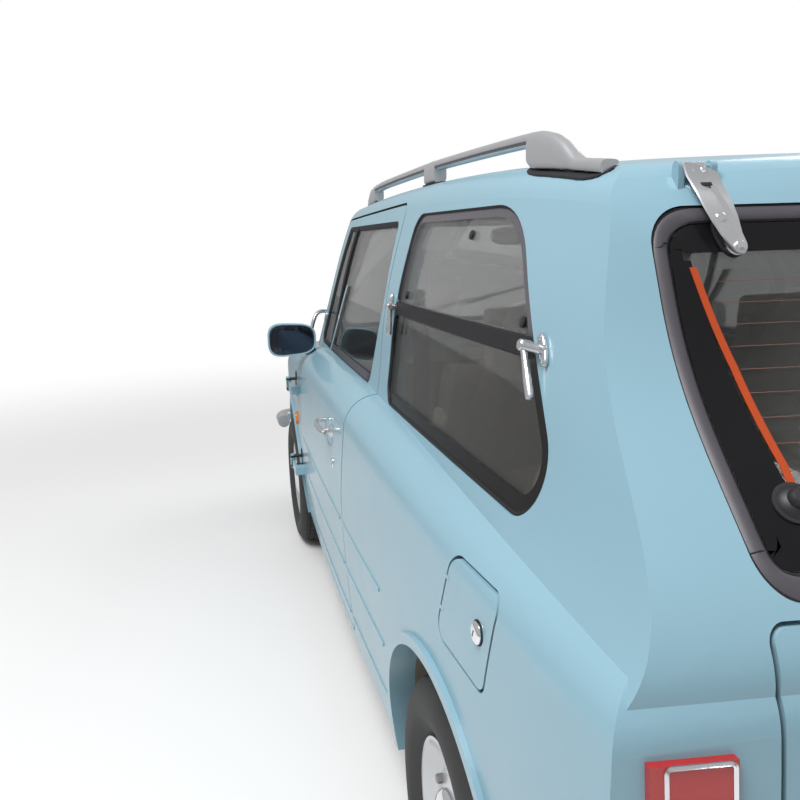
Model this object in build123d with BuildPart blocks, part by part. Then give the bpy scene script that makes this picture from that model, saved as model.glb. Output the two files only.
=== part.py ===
from build123d import *
from math import sqrt
import os

os.makedirs("parts", exist_ok=True)

# A small two-door city car with a glass hatch over a drop-down tailgate.
# Millimetres. The car faces -Y, +X is its left side, +Z is up, and z = 0 is the ground.

# Overall sizes
overall_length = 3740
front_axle_y = -1170
wheelbase = 2300
rear_axle_y = front_axle_y + wheelbase
track_front = 1365
track_rear = 1355

# Walls and gaps
wall = 45            # body sides, doors and tailgate, outer skin to trim
rebate_skin = 18     # outer layer of a door that overlaps the sealing flange
rebate_gap = 6       # from the door's outer layer to the flange behind it
thin_wall = 26       # bonnet, front fenders and nose
panel_gap = 6        # round everything that opens
bead = 2.5           # height of the beads pressed in the doors and quarters
flange_step = 16     # how far the sealing flange reaches into an opening
inner_step = 30      # how far a door's inner box stays inside its outline
seam = 0.4           # between fixed panels
seat_gap = 0.3       # between a piece and what carries it
glass = 5
glass_depth = 6      # fixed glass sits this far under the skin
running = 0.1        # radial clearance of a pin in its eye

# Lower body: outline at each height
# columns: z, front half width, middle half width, rear half width, front y, rear y
tub_levels = (
    (230, 690, 748, 700, -1760, 1735),
    (600, 712, 778, 730, -1800, 1765),
    (960, 700, 772, 705, -1770, 1735),
)
tub_front_bow = 90
tub_rear_bow = 50
tub_front_corner = 150
tub_rear_corner = 200
shoulder_radius = 85
# Lower body's upper surface along the car: y, height at the centre, height at the edge
tub_top = (
    (-1950, 755, 720),
    (-1450, 850, 805),
    (-700, 935, 900),
    (400, 945, 920),
    (1950, 905, 870),
)

# Cabin: outline at each height, with the same columns as tub_levels
cabin_levels = (
    (840, 690, 716, 703, -930, 1746),
    (900, 683, 696, 670, -877, 1734),
    (980, 671, 682, 644, -805, 1668),
    (1150, 645, 660, 612, -654, 1513),
    (1470, 560, 578, 530, -369, 1220),
)
cabin_front_bow = 60
cabin_rear_bow = 55
cabin_front_corner = 120
cabin_rear_corner = 200
roof_edge_radius = 75
roof_top = (
    (-1050, 1320, 1280),
    (-350, 1412, 1368),
    (450, 1442, 1392),
    (1150, 1424, 1381),
    (1950, 1285, 1245),
)

# Openings in side view: y, z, corner radius
door_outline = (
    (-690, 262, 40),
    (322, 262, 40),
    (338, 640, 260),
    (414, 850, 260),
    (406, 1385, 30),
    (-328, 1360, 50),
    (-690, 925, 90),
)
door_window = (
    (-628, 938, 25),
    (300, 936, 40),
    (388, 1150, 150),
    (366, 1342, 25),
    (-282, 1334, 35),
)
quarter_bar_low = -395     # y of the quarter light's divider at the belt
quarter_bar_high = -165    # and at the window's top
side_window = (
    (494, 928, 45),
    (1459, 912, 77),
    (1092, 1357, 220),
    (512, 1354, 50),
)
side_bar_z = 1147
side_bar_height = 26
flap_outline = (
    (1173, 684, 28),
    (1381, 684, 30),
    (1424, 845, 28),
    (1239, 845, 38),
)

# Openings in front or rear view: half width, z, corner radius
windscreen_low = (612, 962, 60)
windscreen_high = (525, 1347, 60)
hatch_low = (536, 926, 42)
hatch_high = (522, 1339, 55)
hatch_flange = 40
hatch_glass_gap = 24
tailgate_low = (548, 500, 30)
tailgate_high = (548, 914, 22)

# Plan splits
bonnet_rear = (590, -872, 30)
bonnet_front = (520, -1660, 90)
bonnet_nose_y = -1745
nose_half = 430
nose_back_y = -1600
cowl_front_y = bonnet_rear[1]
cowl_back_y = -705
bonnet_cut_z = 640
fender_back_y = -690 - panel_gap
fender_top_z = 938
roof_half = 500
door_inner_x = 515     # the door's frame stays outside this under the roof's edge
roof_low_z = 1335
rear_panel_half = 548

quarter_bar_width = 24
flap_gap = 5
flap_step = 9
# Beads along the doors and quarters: lower edge, upper edge
bead_heights = ((582, 589), (457, 464), (316, 323))
bead_door = (-610, 296)
bead_quarter = (338, 770)

# Bulkhead, grille and lamps
bulkhead_y = -812
bulkhead_thickness = 20
grille_half = 300
grille_z = 625
grille_height = 120
grille_bars = 5
grille_bar_height = 7
grille_corner = 40
grille_rim = 12
grille_depth = 20
grille_back_y = -1758
lamp_x = 575
lamp_z = 640
lamp_radius = 92
pod_radius = 112
lamp_front_y = -1782
lamp_back_y = -1650

# Hinges
hinge_x = 793
hinge_y = -800
hinge_heights = (454, 759)
tail_hinge_x = 380
tail_hinge_y = 1785
tail_hinge_z = 500
hatch_hinge_y = 1357
hatch_hinge_z = 1389
hatch_pin = 4
hatch_knuckle = 6.5
hatch_lug = 8
hatch_lug_width = 9
strap_x = 442
strap_half = 14
# Hatch strap seen from behind: x and z of its corners, tip last
strap_outline = ((456, 1395), (430, 1395), (403, 1279), (431, 1273))
bonnet_hinge_x = 400
bonnet_hinge_y = -850
bonnet_hinge_z = 904
bonnet_pocket_half = 22
# Goose-necked arm of the bonnet: y and z from the hinge's axis
bonnet_arm = ((3, -2.6), (-3, 2.6), (-21, -18.5), (-54, -18.5), (-54, -27), (-18.5, -27))
# Wedge cut off the bonnet's rear edge: y from the cowl, z
bonnet_bevel = ((0, 930), (-3.3, 930), (-18.3, 880), (0, 880))
flap_hinge_low = (751.2, 1210.5, 742)
flap_hinge_high = (747.7, 1232.5, 796)
flap_pin = 2
flap_lug = 4.5
flap_notch = 10

# Running gear, bumpers, rails and seats
rail_x = 300
rail_end_y = -700
tow_y = -1655
tow_bore = 11
arm_x = 430
engine_low = (-270, -1430, 250)
engine_high = (300, -1080, 720)
wing_top_z = 770
tower_x = 545
tower_top_z = 780
tower_radius = 72
pipe_radius = 20
pipe_x = 150
silencer_x = 360
bumper_half = 752
bumper_z = 432
bumper_radius = 29
bumper_front = bumper_radius - overall_length / 2
# Roof rail in side view: y, z, corner radius; it has a foot at each end and one in the middle
rail_low_x = 515
rail_high_x = 541
rail_profile = (
    (-392, 1340, 0),
    (-392, 1400, 6),
    (-335, 1460, 40),
    (410, 1479, 300),
    (1040, 1471, 200),
    (1150, 1455, 60),
    (1222, 1406, 60),
    (1292, 1383, 6),
    (1292, 1340, 0),
)
rail_windows = (
    ((-230, 1340, 0), (-250, 1434, 12), (330, 1454, 12), (278, 1340, 0)),
    ((509, 1340, 0), (470, 1454, 12), (1008, 1448, 12), (1020, 1340, 0)),
)
rail_edge = 6
seat_x = 340
seat_base_z = 360
seat_top_z = 500

# Wheels
rim_radius = 152
tyre_radius = 275
tyre_width = 155
arch_radius = 330
arch_lip = 9
arch_lip_width = 22
arch_inner_x = 600
house_gap = 4
house_wall = 12
house_inner_front = 432
house_inner_rear = 520
bead_half = 49.5
stub_radius = 16
stub_reach = 34
brake_x = 612
brake_radius = 105
steer_low_x = 600
steer_low_z = 194
steer_high_x = 548
steer_high_z = 786
knuckle_radius = 26
strut_radius = 24
strut_foot_z = 350
strut_top_z = 765
pin_radius = 8
arm_root_x = 330
floor_z = 232
jack_x = 600
jack_y = -550
jack_pad = 10
floor_thickness = 24
boot_floor_z = 400
kick_y = 760


def side_prism(points, x_from, x_to, grow=0):
    """Outline in y and z with its corner radii, made solid from one x to another."""
    with BuildPart() as prism:
        with BuildSketch(Plane.YZ.offset(x_from)):
            with BuildLine():
                FilletPolyline(*[(y, z) for y, z, r in points], radius=[r for y, z, r in points], close=True)
            make_face()
            if grow:
                offset(amount=grow)
        extrude(amount=x_to - x_from)
    return prism.part


def end_prism(low, high, y_from, y_to, grow=0):
    """Symmetric outline in x and z, given by its lower and upper corner."""
    points = ((-low[0], low[1], low[2]), (low[0], low[1], low[2]),
              (high[0], high[1], high[2]), (-high[0], high[1], high[2]))
    with BuildPart() as prism:
        with BuildSketch(Plane.XZ.offset(-y_to)):
            with BuildLine():
                FilletPolyline(*[(x, z) for x, z, r in points], radius=[r for x, z, r in points], close=True)
            make_face()
            if grow:
                offset(amount=grow)
        extrude(amount=y_to - y_from)
    return prism.part


def block(low, high):
    """Box from its lowest to its highest corner."""
    with BuildPart() as box:
        with Locations((Vector(*low) + Vector(*high)) / 2):
            Box(*[b - a for a, b in zip(low, high)])
    return box.part


def rod(start, end, radius, bore=0):
    """Round bar or tube from one point to another."""
    axis = Vector(*end) - Vector(*start)
    with BuildPart() as bar:
        with BuildSketch(Plane(origin=start, z_dir=axis)):
            Circle(radius)
            if bore:
                Circle(bore, mode=Mode.SUBTRACT)
        extrude(amount=axis.length)
    return bar.part


def bent_tube(points, radii, radius):
    """Round bar along straight runs joined by tangent arcs."""
    with BuildPart() as tube:
        with BuildLine() as path:
            FilletPolyline(*points, radius=radii)
        with BuildSketch(path.line ^ 0):
            Circle(radius)
        sweep()
    return tube.part


def plan_loft(levels, front_bow, rear_bow, front_corner, rear_corner, inset):
    """Closed body lofted through plan outlines, each of four arcs with rounded corners."""
    with BuildPart() as body:
        for z, front_half, middle_half, rear_half, front_y, rear_y in levels:
            with BuildSketch(Plane.XY.offset(z)):
                front = (front_half - inset, front_y + front_bow + inset)
                rear = (rear_half - inset, rear_y - rear_bow - inset)
                middle = (middle_half - inset, 0.35 * (front_y + rear_y))
                with BuildLine():
                    ThreePointArc((-front[0], front[1]), (0, front_y + inset), front)
                    ThreePointArc(front, middle, rear)
                    ThreePointArc(rear, (0, rear_y - inset), (-rear[0], rear[1]))
                    ThreePointArc((-rear[0], rear[1]), (-middle[0], middle[1]), (-front[0], front[1]))
                face = make_face()
                corners = face.vertices().sort_by(Axis.Y)
                fillet(corners[:2], front_corner - inset)
                fillet(corners[2:], rear_corner - inset)
        loft()
    return body.part


def crown(stations, inset):
    """Body under a surface that is arched across the car and curved along it."""
    half = 900
    base_z = 50
    with BuildPart() as body:
        for y, centre_z, edge_z in stations:
            with BuildSketch(Plane.XZ.offset(-y)):
                with BuildLine():
                    ThreePointArc((-half, edge_z - inset), (0, centre_z - inset), (half, edge_z - inset))
                    Polyline((half, edge_z - inset), (half, base_z), (-half, base_z), (-half, edge_z - inset))
                make_face()
        loft()
    return body.part


def body_form(inset):
    """The whole body's outer form, or the same form a given depth under its skin."""
    with BuildPart() as tub:
        add(plan_loft(tub_levels, tub_front_bow, tub_rear_bow, tub_front_corner, tub_rear_corner, inset))
        add(crown(tub_top, inset), mode=Mode.INTERSECT)
        fillet(tub.faces().sort_by(Axis.Z)[-1].edges(), shoulder_radius - inset)
    with BuildPart() as cabin:
        add(plan_loft(cabin_levels, cabin_front_bow, cabin_rear_bow,
                      cabin_front_corner, cabin_rear_corner, inset))
        add(crown(roof_top, inset), mode=Mode.INTERSECT)
        fillet(cabin.faces().sort_by(Axis.Z)[-1].edges(), roof_edge_radius - inset)
    with BuildPart() as form:
        add(tub.part)
        add(cabin.part)
    return form.part


skin = body_form(0)
under_skin = body_form(rebate_skin)
flange_top = body_form(rebate_skin + rebate_gap)
thin_inside = body_form(thin_wall)
inside = body_form(wall)
flare_skin = body_form(-arch_lip)
bead_skin = body_form(-bead)
glass_outer = body_form(glass_depth)
glass_inner = body_form(glass_depth + glass)

with BuildPart() as full_shell:
    add(skin)
    add(inside, mode=Mode.SUBTRACT)
with BuildPart() as thin_shell:
    add(skin)
    add(thin_inside, mode=Mode.SUBTRACT)
with BuildPart() as door_skin:
    add(skin)
    add(under_skin, mode=Mode.SUBTRACT)
with BuildPart() as door_box:
    add(under_skin)
    add(inside, mode=Mode.SUBTRACT)
with BuildPart() as opening_skin:
    add(skin)
    add(flange_top, mode=Mode.SUBTRACT)
with BuildPart() as glass_shell:
    add(glass_outer)
    add(glass_inner, mode=Mode.SUBTRACT)

far = 900
tall = 1500
nose = -1900
tail = 1900
side_doorway = side_prism(door_outline, door_inner_x - panel_gap, far)
side_doorway_inner = side_prism(door_outline, door_inner_x - panel_gap, far, -flange_step)


def bonnet_prism(grow):
    """The bonnet's outline in plan, carried up through the skin."""
    with BuildPart() as prism:
        with BuildSketch(Plane.XY.offset(bonnet_cut_z)):
            with BuildLine():
                Polyline((bonnet_front[0], bonnet_front[1]), (bonnet_rear[0], bonnet_rear[1]),
                         (-bonnet_rear[0], bonnet_rear[1]), (-bonnet_front[0], bonnet_front[1]))
                ThreePointArc((-bonnet_front[0], bonnet_front[1]), (0, bonnet_nose_y),
                              (bonnet_front[0], bonnet_front[1]))
            opening = make_face()
            fillet(opening.vertices().sort_by(Axis.Y)[:2], bonnet_front[2])
            if grow:
                offset(amount=grow)
        extrude(amount=500)
    return prism.part


bonnet_region = bonnet_prism(0)

roof_region = block((-roof_half, nose, roof_low_z), (roof_half, 1500, tall))
nose_region = block((-nose_half, nose, 200), (nose_half, nose_back_y, 900))
cowl_region = block((-bonnet_rear[0] - panel_gap, cowl_front_y, 300),
                    (bonnet_rear[0] + panel_gap, cowl_back_y, 965))
rear_panel_region = block((-rear_panel_half, 1600, 200), (rear_panel_half, 1900, tailgate_low[1]))

windscreen_opening = end_prism(windscreen_low, windscreen_high, -1000, -200)
hatch_opening = end_prism(hatch_low, hatch_high, 1100, 1900, -hatch_flange)
hatch_recess = end_prism(hatch_low, hatch_high, 1100, 1900)
tailgate_opening = end_prism(tailgate_low, tailgate_high, 1600, 1900)
tailgate_opening_inner = end_prism(tailgate_low, tailgate_high, 1600, 1900, -flange_step)
sash_gap_region = block((-hatch_low[0] + hatch_flange, 1600, tailgate_high[1] - 30),
                        (hatch_low[0] - hatch_flange, 1900, hatch_low[1] + 60))


def arch_cut(axle_y, x_from, x_to):
    """Round opening over a wheel."""
    return rod((x_from, axle_y, tyre_radius), (x_to, axle_y, tyre_radius), arch_radius)


def arch_flare(axle_y):
    """Rolled lip that stands proud of the skin round a wheel opening."""
    ring = rod((arch_inner_x, axle_y, tyre_radius), (far, axle_y, tyre_radius),
               arch_radius + arch_lip_width, arch_radius)
    with BuildPart() as flare:
        add(flare_skin)
        add(inside, mode=Mode.SUBTRACT)
        add(ring, mode=Mode.INTERSECT)
    return flare.part


def beads(front_y, rear_y):
    """Narrow horizontal beads that stand proud of the side's skin."""
    with BuildPart() as lines:
        for low_z, high_z in bead_heights:
            add(bead_skin & block((600, front_y, low_z), (far, rear_y, high_z)))
        add(under_skin, mode=Mode.SUBTRACT)
    return lines.part


# Left body side: sill, quarter, pillars and roof rail in one pressing
with BuildPart() as side_form:
    add(full_shell.part)
    add(block((0, fender_back_y + seam, 0), (far, tail, tall)) + block((0, nose, fender_top_z), (far, 0, tall)),
        mode=Mode.INTERSECT)
    add(roof_region, mode=Mode.SUBTRACT)
    add(cowl_region, mode=Mode.SUBTRACT)
    add(rear_panel_region, mode=Mode.SUBTRACT)
    add(windscreen_opening, mode=Mode.SUBTRACT)
    add(hatch_opening, mode=Mode.SUBTRACT)
    add(hatch_recess & door_skin.part, mode=Mode.SUBTRACT)
    add(sash_gap_region, mode=Mode.SUBTRACT)
    add(tailgate_opening_inner, mode=Mode.SUBTRACT)
    add(tailgate_opening & opening_skin.part, mode=Mode.SUBTRACT)
    add(side_doorway_inner, mode=Mode.SUBTRACT)
    add(side_doorway & opening_skin.part, mode=Mode.SUBTRACT)
    add(side_prism(side_window, 300, far), mode=Mode.SUBTRACT)
    add(beads(*bead_quarter))
    add(arch_cut(rear_axle_y, arch_inner_x, far), mode=Mode.SUBTRACT)
    add(arch_flare(rear_axle_y))

flap_pocket = side_prism(flap_outline, 600, far)
with BuildPart() as side_panel_left:
    add(side_form.part)
    add(flap_pocket & opening_skin.part, mode=Mode.SUBTRACT)
with BuildPart() as side_panel_right:
    mirror(side_form.part, about=Plane.YZ)

# Fuel filler flap: outer sheet and a smaller inner one
with BuildPart() as fuel_flap:
    add(skin)
    add(glass_outer, mode=Mode.SUBTRACT)
    add(side_prism(flap_outline, 600, far, -flap_gap), mode=Mode.INTERSECT)
    add(glass_shell.part & side_prism(flap_outline, 600, far, -flap_gap - flap_step))

# Roof
with BuildPart() as roof_panel:
    add(full_shell.part)
    add(roof_region, mode=Mode.INTERSECT)
    add(windscreen_opening, mode=Mode.SUBTRACT)
    add(hatch_opening, mode=Mode.SUBTRACT)
    add(hatch_recess & door_skin.part, mode=Mode.SUBTRACT)

# Cowl and bulkhead
with BuildPart() as bulkhead:
    add(thin_inside)
    add(block((-far, bulkhead_y, floor_z), (far, bulkhead_y + bulkhead_thickness, tall)), mode=Mode.INTERSECT)
    add(full_shell.part & cowl_region)
    add(windscreen_opening, mode=Mode.SUBTRACT)

# Panel under the tailgate
with BuildPart() as rear_panel:
    add(full_shell.part)
    add(rear_panel_region, mode=Mode.INTERSECT)

# Front fender with its headlamp pod
with BuildPart() as fender_left:
    add(thin_shell.part)
    add(block((0, nose, 0), (far, fender_back_y, fender_top_z)), mode=Mode.INTERSECT)
    add(bonnet_region, mode=Mode.SUBTRACT)
    add(nose_region, mode=Mode.SUBTRACT)
    add(cowl_region, mode=Mode.SUBTRACT)
    add(rod((lamp_x, lamp_front_y, lamp_z), (lamp_x, lamp_back_y, lamp_z), pod_radius))
    add(rod((lamp_x, lamp_front_y, lamp_z), (lamp_x, lamp_back_y, lamp_z), lamp_radius), mode=Mode.SUBTRACT)
    add(arch_cut(front_axle_y, 430, far), mode=Mode.SUBTRACT)
    add(arch_flare(front_axle_y))
with BuildPart() as fender_right:
    mirror(fender_left.part, about=Plane.YZ)

# Nose panel with the grille opening
grille_low = (grille_half, grille_z - grille_height / 2, grille_corner)
grille_high = (grille_half, grille_z + grille_height / 2, grille_corner)
grille_opening = end_prism(grille_low, grille_high, nose, nose_back_y)
with BuildPart() as nose_panel:
    add(thin_shell.part)
    add(nose_region, mode=Mode.INTERSECT)
    add(bonnet_region, mode=Mode.SUBTRACT)
    add(grille_opening, mode=Mode.SUBTRACT)

with BuildPart() as grille:
    with BuildSketch(Plane.XZ.offset(-grille_back_y)):
        with Locations((0, grille_z)):
            RectangleRounded(2 * (grille_half - seat_gap), grille_height - 2 * seat_gap, grille_corner - seat_gap)
            RectangleRounded(2 * (grille_half - grille_rim), grille_height - 2 * grille_rim,
                             grille_corner - grille_rim, mode=Mode.SUBTRACT)
        with Locations((0, grille_z)):
            with GridLocations(0, (grille_height - 2 * grille_rim) / (grille_bars + 1), 1, grille_bars):
                Rectangle(2 * (grille_half - grille_rim) + 2, grille_bar_height)
    extrude(amount=grille_depth)

# Bonnet, its rear edge bevelled so that it clears the cowl when it swings up
with BuildPart() as bonnet:
    add(thin_shell.part)
    add(bonnet_prism(-panel_gap), mode=Mode.INTERSECT)
    with BuildSketch(Plane.YZ.offset(-far)):
        with BuildLine():
            Polyline(*[(cowl_front_y + y, z) for y, z in bonnet_bevel], close=True)
        make_face()
    extrude(amount=2 * far, mode=Mode.SUBTRACT)

# Floor with its kick-up, boot floor and rear wheel houses
with BuildPart() as floor_pan:
    add(inside)
    add(block((-far, bulkhead_y + bulkhead_thickness, floor_z), (far, kick_y, floor_z + floor_thickness)),
        mode=Mode.INTERSECT)
    add(inside & block((-far, kick_y, floor_z), (far, kick_y + floor_thickness, boot_floor_z)))
    add(inside & block((-far, kick_y, boot_floor_z), (far, tail, boot_floor_z + floor_thickness)))
    for side in (-1, 1):
        add(inside & rod((side * (house_inner_rear - house_wall), rear_axle_y, tyre_radius),
                         (side * far, rear_axle_y, tyre_radius), arch_radius + house_wall))
        add(rod((side * house_inner_rear, rear_axle_y, tyre_radius),
                (side * far, rear_axle_y, tyre_radius), arch_radius), mode=Mode.SUBTRACT)
        add(block((min(side * 490, side * 560), rear_axle_y - 60, 0),
                  (max(side * 490, side * 560), rear_axle_y + 60, boot_floor_z)), mode=Mode.SUBTRACT)
    split(bisect_by=Plane.XY.offset(floor_z), keep=Keep.TOP)
    for side in (-1, 1):
        add(block((side * jack_x - 35, jack_y - 35, floor_z - jack_pad), (side * jack_x + 35, jack_y + 35, floor_z)))

# Left door, with a skin that overlaps the sealing flange
door_plug = side_prism(door_outline, door_inner_x, far, -panel_gap)
door_plug_inner = side_prism(door_outline, door_inner_x, far, -inner_step)
quarter_bar = (
    (quarter_bar_low - quarter_bar_width / 2, door_window[0][1] - 10, 0),
    (quarter_bar_low + quarter_bar_width / 2, door_window[0][1] - 10, 0),
    (quarter_bar_high + quarter_bar_width / 2, door_window[2][1] + 10, 0),
    (quarter_bar_high - quarter_bar_width / 2, door_window[2][1] + 10, 0),
)
with BuildPart() as door_left:
    add(door_skin.part & door_plug)
    add(door_box.part & door_plug_inner)
    add(side_prism(door_window, door_inner_x, far), mode=Mode.SUBTRACT)
    add(door_skin.part & side_prism(quarter_bar, door_inner_x, far) & side_prism(door_window, door_inner_x, far))
    add(beads(*bead_door))
with BuildPart() as door_right:
    mirror(door_left.part, about=Plane.YZ)
with BuildPart() as door_glass_left:
    add(glass_shell.part)
    add(side_prism(door_window, door_inner_x, far, -seat_gap), mode=Mode.INTERSECT)
    add(side_prism(quarter_bar, door_inner_x, far, seat_gap), mode=Mode.SUBTRACT)
with BuildPart() as door_glass_right:
    mirror(door_glass_left.part, about=Plane.YZ)

# Windows that stay shut
with BuildPart() as windscreen:
    add(glass_shell.part)
    add(end_prism(windscreen_low, windscreen_high, -1000, -200, -seat_gap), mode=Mode.INTERSECT)
bar_region = block((300, 0, side_bar_z - side_bar_height / 2), (far, tail, side_bar_z + side_bar_height / 2))
with BuildPart() as side_glass:
    add(glass_shell.part)
    add(side_prism(side_window, 300, far, -seat_gap), mode=Mode.INTERSECT)
    add(block((300, 0, side_bar_z - side_bar_height / 2 - seat_gap),
              (far, tail, side_bar_z + side_bar_height / 2 + seat_gap)), mode=Mode.SUBTRACT)
    mirror(about=Plane.YZ)
with BuildPart() as side_window_bars:
    add(door_skin.part & side_prism(side_window, 300, far, -seat_gap) & bar_region)
    mirror(about=Plane.YZ)

# Glass hatch
sash_low = (hatch_low[0] - hatch_glass_gap, hatch_low[1] + panel_gap, hatch_low[2] - 12)
sash_high = (hatch_high[0] - hatch_glass_gap, hatch_high[1] - hatch_glass_gap, hatch_high[2] - 12)
with BuildPart() as hatch_glass:
    add(glass_shell.part)
    add(end_prism(sash_low, sash_high, 1100, tail), mode=Mode.INTERSECT)

# Drop-down tailgate
with BuildPart() as tailgate:
    add(door_skin.part & end_prism(tailgate_low, tailgate_high, 1600, tail, -panel_gap))
    add(door_box.part & end_prism(tailgate_low, tailgate_high, 1600, tail, -inner_step))


# Wheels and tyres
# columns: across from the wheel's middle plane, radius
rim_profile = (
    (-60, 164), (-50, 152), (-28, 150), (-20, 134), (20, 134), (28, 150), (50, 152), (60, 164),
    (60, 157), (46, 142), (30, 122), (44, 100), (50, 62), (40, 44), (40, 0), (24, 0), (24, 58),
    (30, 70), (22, 98), (14, 126), (-26, 128), (-36, 144), (-60, 157),
)


def rim_at(side, axle_y, track):
    """Pressed steel wheel on its stub."""
    centre_x = side * track / 2
    with BuildPart() as rim:
        with BuildSketch(Plane.XZ.offset(-axle_y)):
            with BuildLine():
                Polyline(*[(centre_x + side * dx, tyre_radius + r) for dx, r in rim_profile], close=True)
            make_face()
        revolve(axis=Axis((0, axle_y, tyre_radius), (1, 0, 0)))
        hub_in = centre_x + side * (24 - 1)
        add(rod((hub_in, axle_y, tyre_radius), (centre_x + side * stub_reach, axle_y, tyre_radius),
                stub_radius + running), mode=Mode.SUBTRACT)
    return rim.part


def tyre_at(side, axle_y, track):
    """Tyre seated on its rim."""
    centre_x = side * track / 2
    bead_r = rim_radius + seat_gap
    half = tyre_width / 2
    shoulder = (half - 22, tyre_radius - 8)
    wall_points = ((half, bead_r + 64), (half - 5, bead_r + 36), (bead_half, bead_r + 15))

    def at(point, hand=1):
        return (centre_x + hand * point[0], tyre_radius + point[1])

    with BuildPart() as tyre:
        with BuildSketch(Plane.XZ.offset(-axle_y)):
            with BuildLine():
                ThreePointArc(at(shoulder, -1), at((0, tyre_radius)), at(shoulder))
                for hand in (1, -1):
                    ThreePointArc(at(shoulder, hand), at((half - 6, bead_r + 96), hand), at(wall_points[0], hand))
                    ThreePointArc(at(wall_points[0], hand), at(wall_points[1], hand), at(wall_points[2], hand))
                    Line(at(wall_points[2], hand), at((bead_half, bead_r), hand))
                Line(at((bead_half, bead_r)), at((bead_half, bead_r), -1))
            make_face()
        revolve(axis=Axis((0, axle_y, tyre_radius), (1, 0, 0)))
    return tyre.part


wheels = {}
for end, axle_y, track in (("front", front_axle_y, track_front), ("rear", rear_axle_y, track_rear)):
    for hand, side in (("left", 1), ("right", -1)):
        wheels[f"wheel_{end}_{hand}"] = rim_at(side, axle_y, track)
        wheels[f"tyre_{end}_{hand}"] = tyre_at(side, axle_y, track)


def on_steering_axis(z):
    """Point of the left wheel's steering axis at a height."""
    share = (z - steer_low_z) / (steer_high_z - steer_low_z)
    return (steer_low_x + share * (steer_high_x - steer_low_x), front_axle_y, z)


# Left front knuckle with its strut, stub and brake disc
with BuildPart() as knuckle_left:
    add(rod(on_steering_axis(steer_low_z + 2), on_steering_axis(strut_foot_z), knuckle_radius))
    add(rod(on_steering_axis(strut_foot_z - 10), on_steering_axis(strut_top_z), strut_radius))
    add(rod(on_steering_axis(strut_top_z - 5), on_steering_axis(steer_high_z + 6), pin_radius))
    add(rod(on_steering_axis(steer_low_z), on_steering_axis(steer_low_z + 24), pin_radius + running),
        mode=Mode.SUBTRACT)
    add(rod((on_steering_axis(tyre_radius)[0], front_axle_y, tyre_radius),
            (track_front / 2 + stub_reach - 2, front_axle_y, tyre_radius), stub_radius))
    add(rod((brake_x, front_axle_y, tyre_radius), (brake_x + 12, front_axle_y, tyre_radius), brake_radius))
with BuildPart() as knuckle_right:
    mirror(knuckle_left.part, about=Plane.YZ)

# Front crossmember, lower arms with their ball pins, and towing eye
arm_z = steer_low_z - 24
with BuildPart() as front_subframe:
    with BuildSketch(Plane.XY.offset(arm_z)):
        with BuildLine():
            Polyline((-560, front_axle_y - 22), (-arm_root_x, front_axle_y - 95), (arm_root_x, front_axle_y - 95),
                     (560, front_axle_y - 22), (560, front_axle_y + 22), (arm_root_x, front_axle_y + 95),
                     (-arm_root_x, front_axle_y + 95), (-560, front_axle_y + 22), close=True)
        make_face()
    extrude(amount=22)
    add(block((-arm_root_x, front_axle_y - 40, arm_z), (arm_root_x, front_axle_y + 40, engine_low[2] - seat_gap)))
    for hand in (1, -1):
        add(rod((hand * 560, front_axle_y, arm_z), (hand * 560, front_axle_y, arm_z + 22), 22))
        add(block((min(hand * 555, hand * steer_low_x), front_axle_y - 22, arm_z),
                  (max(hand * 555, hand * steer_low_x), front_axle_y + 22, arm_z + 22)))
        low = on_steering_axis(arm_z + 10)
        high = on_steering_axis(steer_low_z + 20)
        add(rod((hand * low[0], low[1], low[2]), (hand * high[0], high[1], high[2]), pin_radius))
        add(block((hand * rail_x - 22, nose_back_y - 80, arm_z), (hand * rail_x + 22, rail_end_y, arm_z + 50)))
        add(block((hand * rail_x - 22, bulkhead_y + bulkhead_thickness + 5, arm_z),
                  (hand * rail_x + 22, rail_end_y, floor_z - seat_gap)))
        add(rod((hand * rail_x - 22, tow_y, arm_z + 25), (hand * rail_x + 22, tow_y, arm_z + 25), tow_bore),
            mode=Mode.SUBTRACT)

# Inner wings with wheel houses and strut towers
house_outer = arch_radius + house_wall
with BuildPart() as inner_wing_left:
    add(block((house_inner_front - house_wall, nose_back_y + 20, floor_z),
              (house_inner_front, bulkhead_y - seam, wing_top_z)))
    add(rod((house_inner_front - house_wall, front_axle_y, tyre_radius), (far, front_axle_y, tyre_radius), house_outer)
        & inside)
    add(rod((tower_x, front_axle_y, 540), (tower_x, front_axle_y, tower_top_z), tower_radius))
    add(rod((house_inner_front, front_axle_y, tyre_radius), (far, front_axle_y, tyre_radius), arch_radius),
        mode=Mode.SUBTRACT)
    add(rod((tower_x, front_axle_y, 500), (tower_x, front_axle_y, tower_top_z - house_wall),
            tower_radius - house_wall), mode=Mode.SUBTRACT)
    add(rod(on_steering_axis(tower_top_z - 40), on_steering_axis(tower_top_z + 20), pin_radius + running),
        mode=Mode.SUBTRACT)
    split(bisect_by=Plane.XY.offset(floor_z), keep=Keep.TOP)
with BuildPart() as inner_wing_right:
    mirror(inner_wing_left.part, about=Plane.YZ)

# Engine and gearbox as one plain block, and the radiator behind the grille
with BuildPart() as engine_block:
    add(block(engine_low, engine_high))
with BuildPart() as radiator:
    add(block((-rail_x + 40, nose_back_y - 62, arm_z + 50 + seat_gap), (rail_x - 40, nose_back_y - 30, 690)))
    add(block((-rail_x - 20, nose_back_y - 62, arm_z + 50 + seat_gap), (rail_x + 20, nose_back_y - 30, arm_z + 90)))

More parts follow.
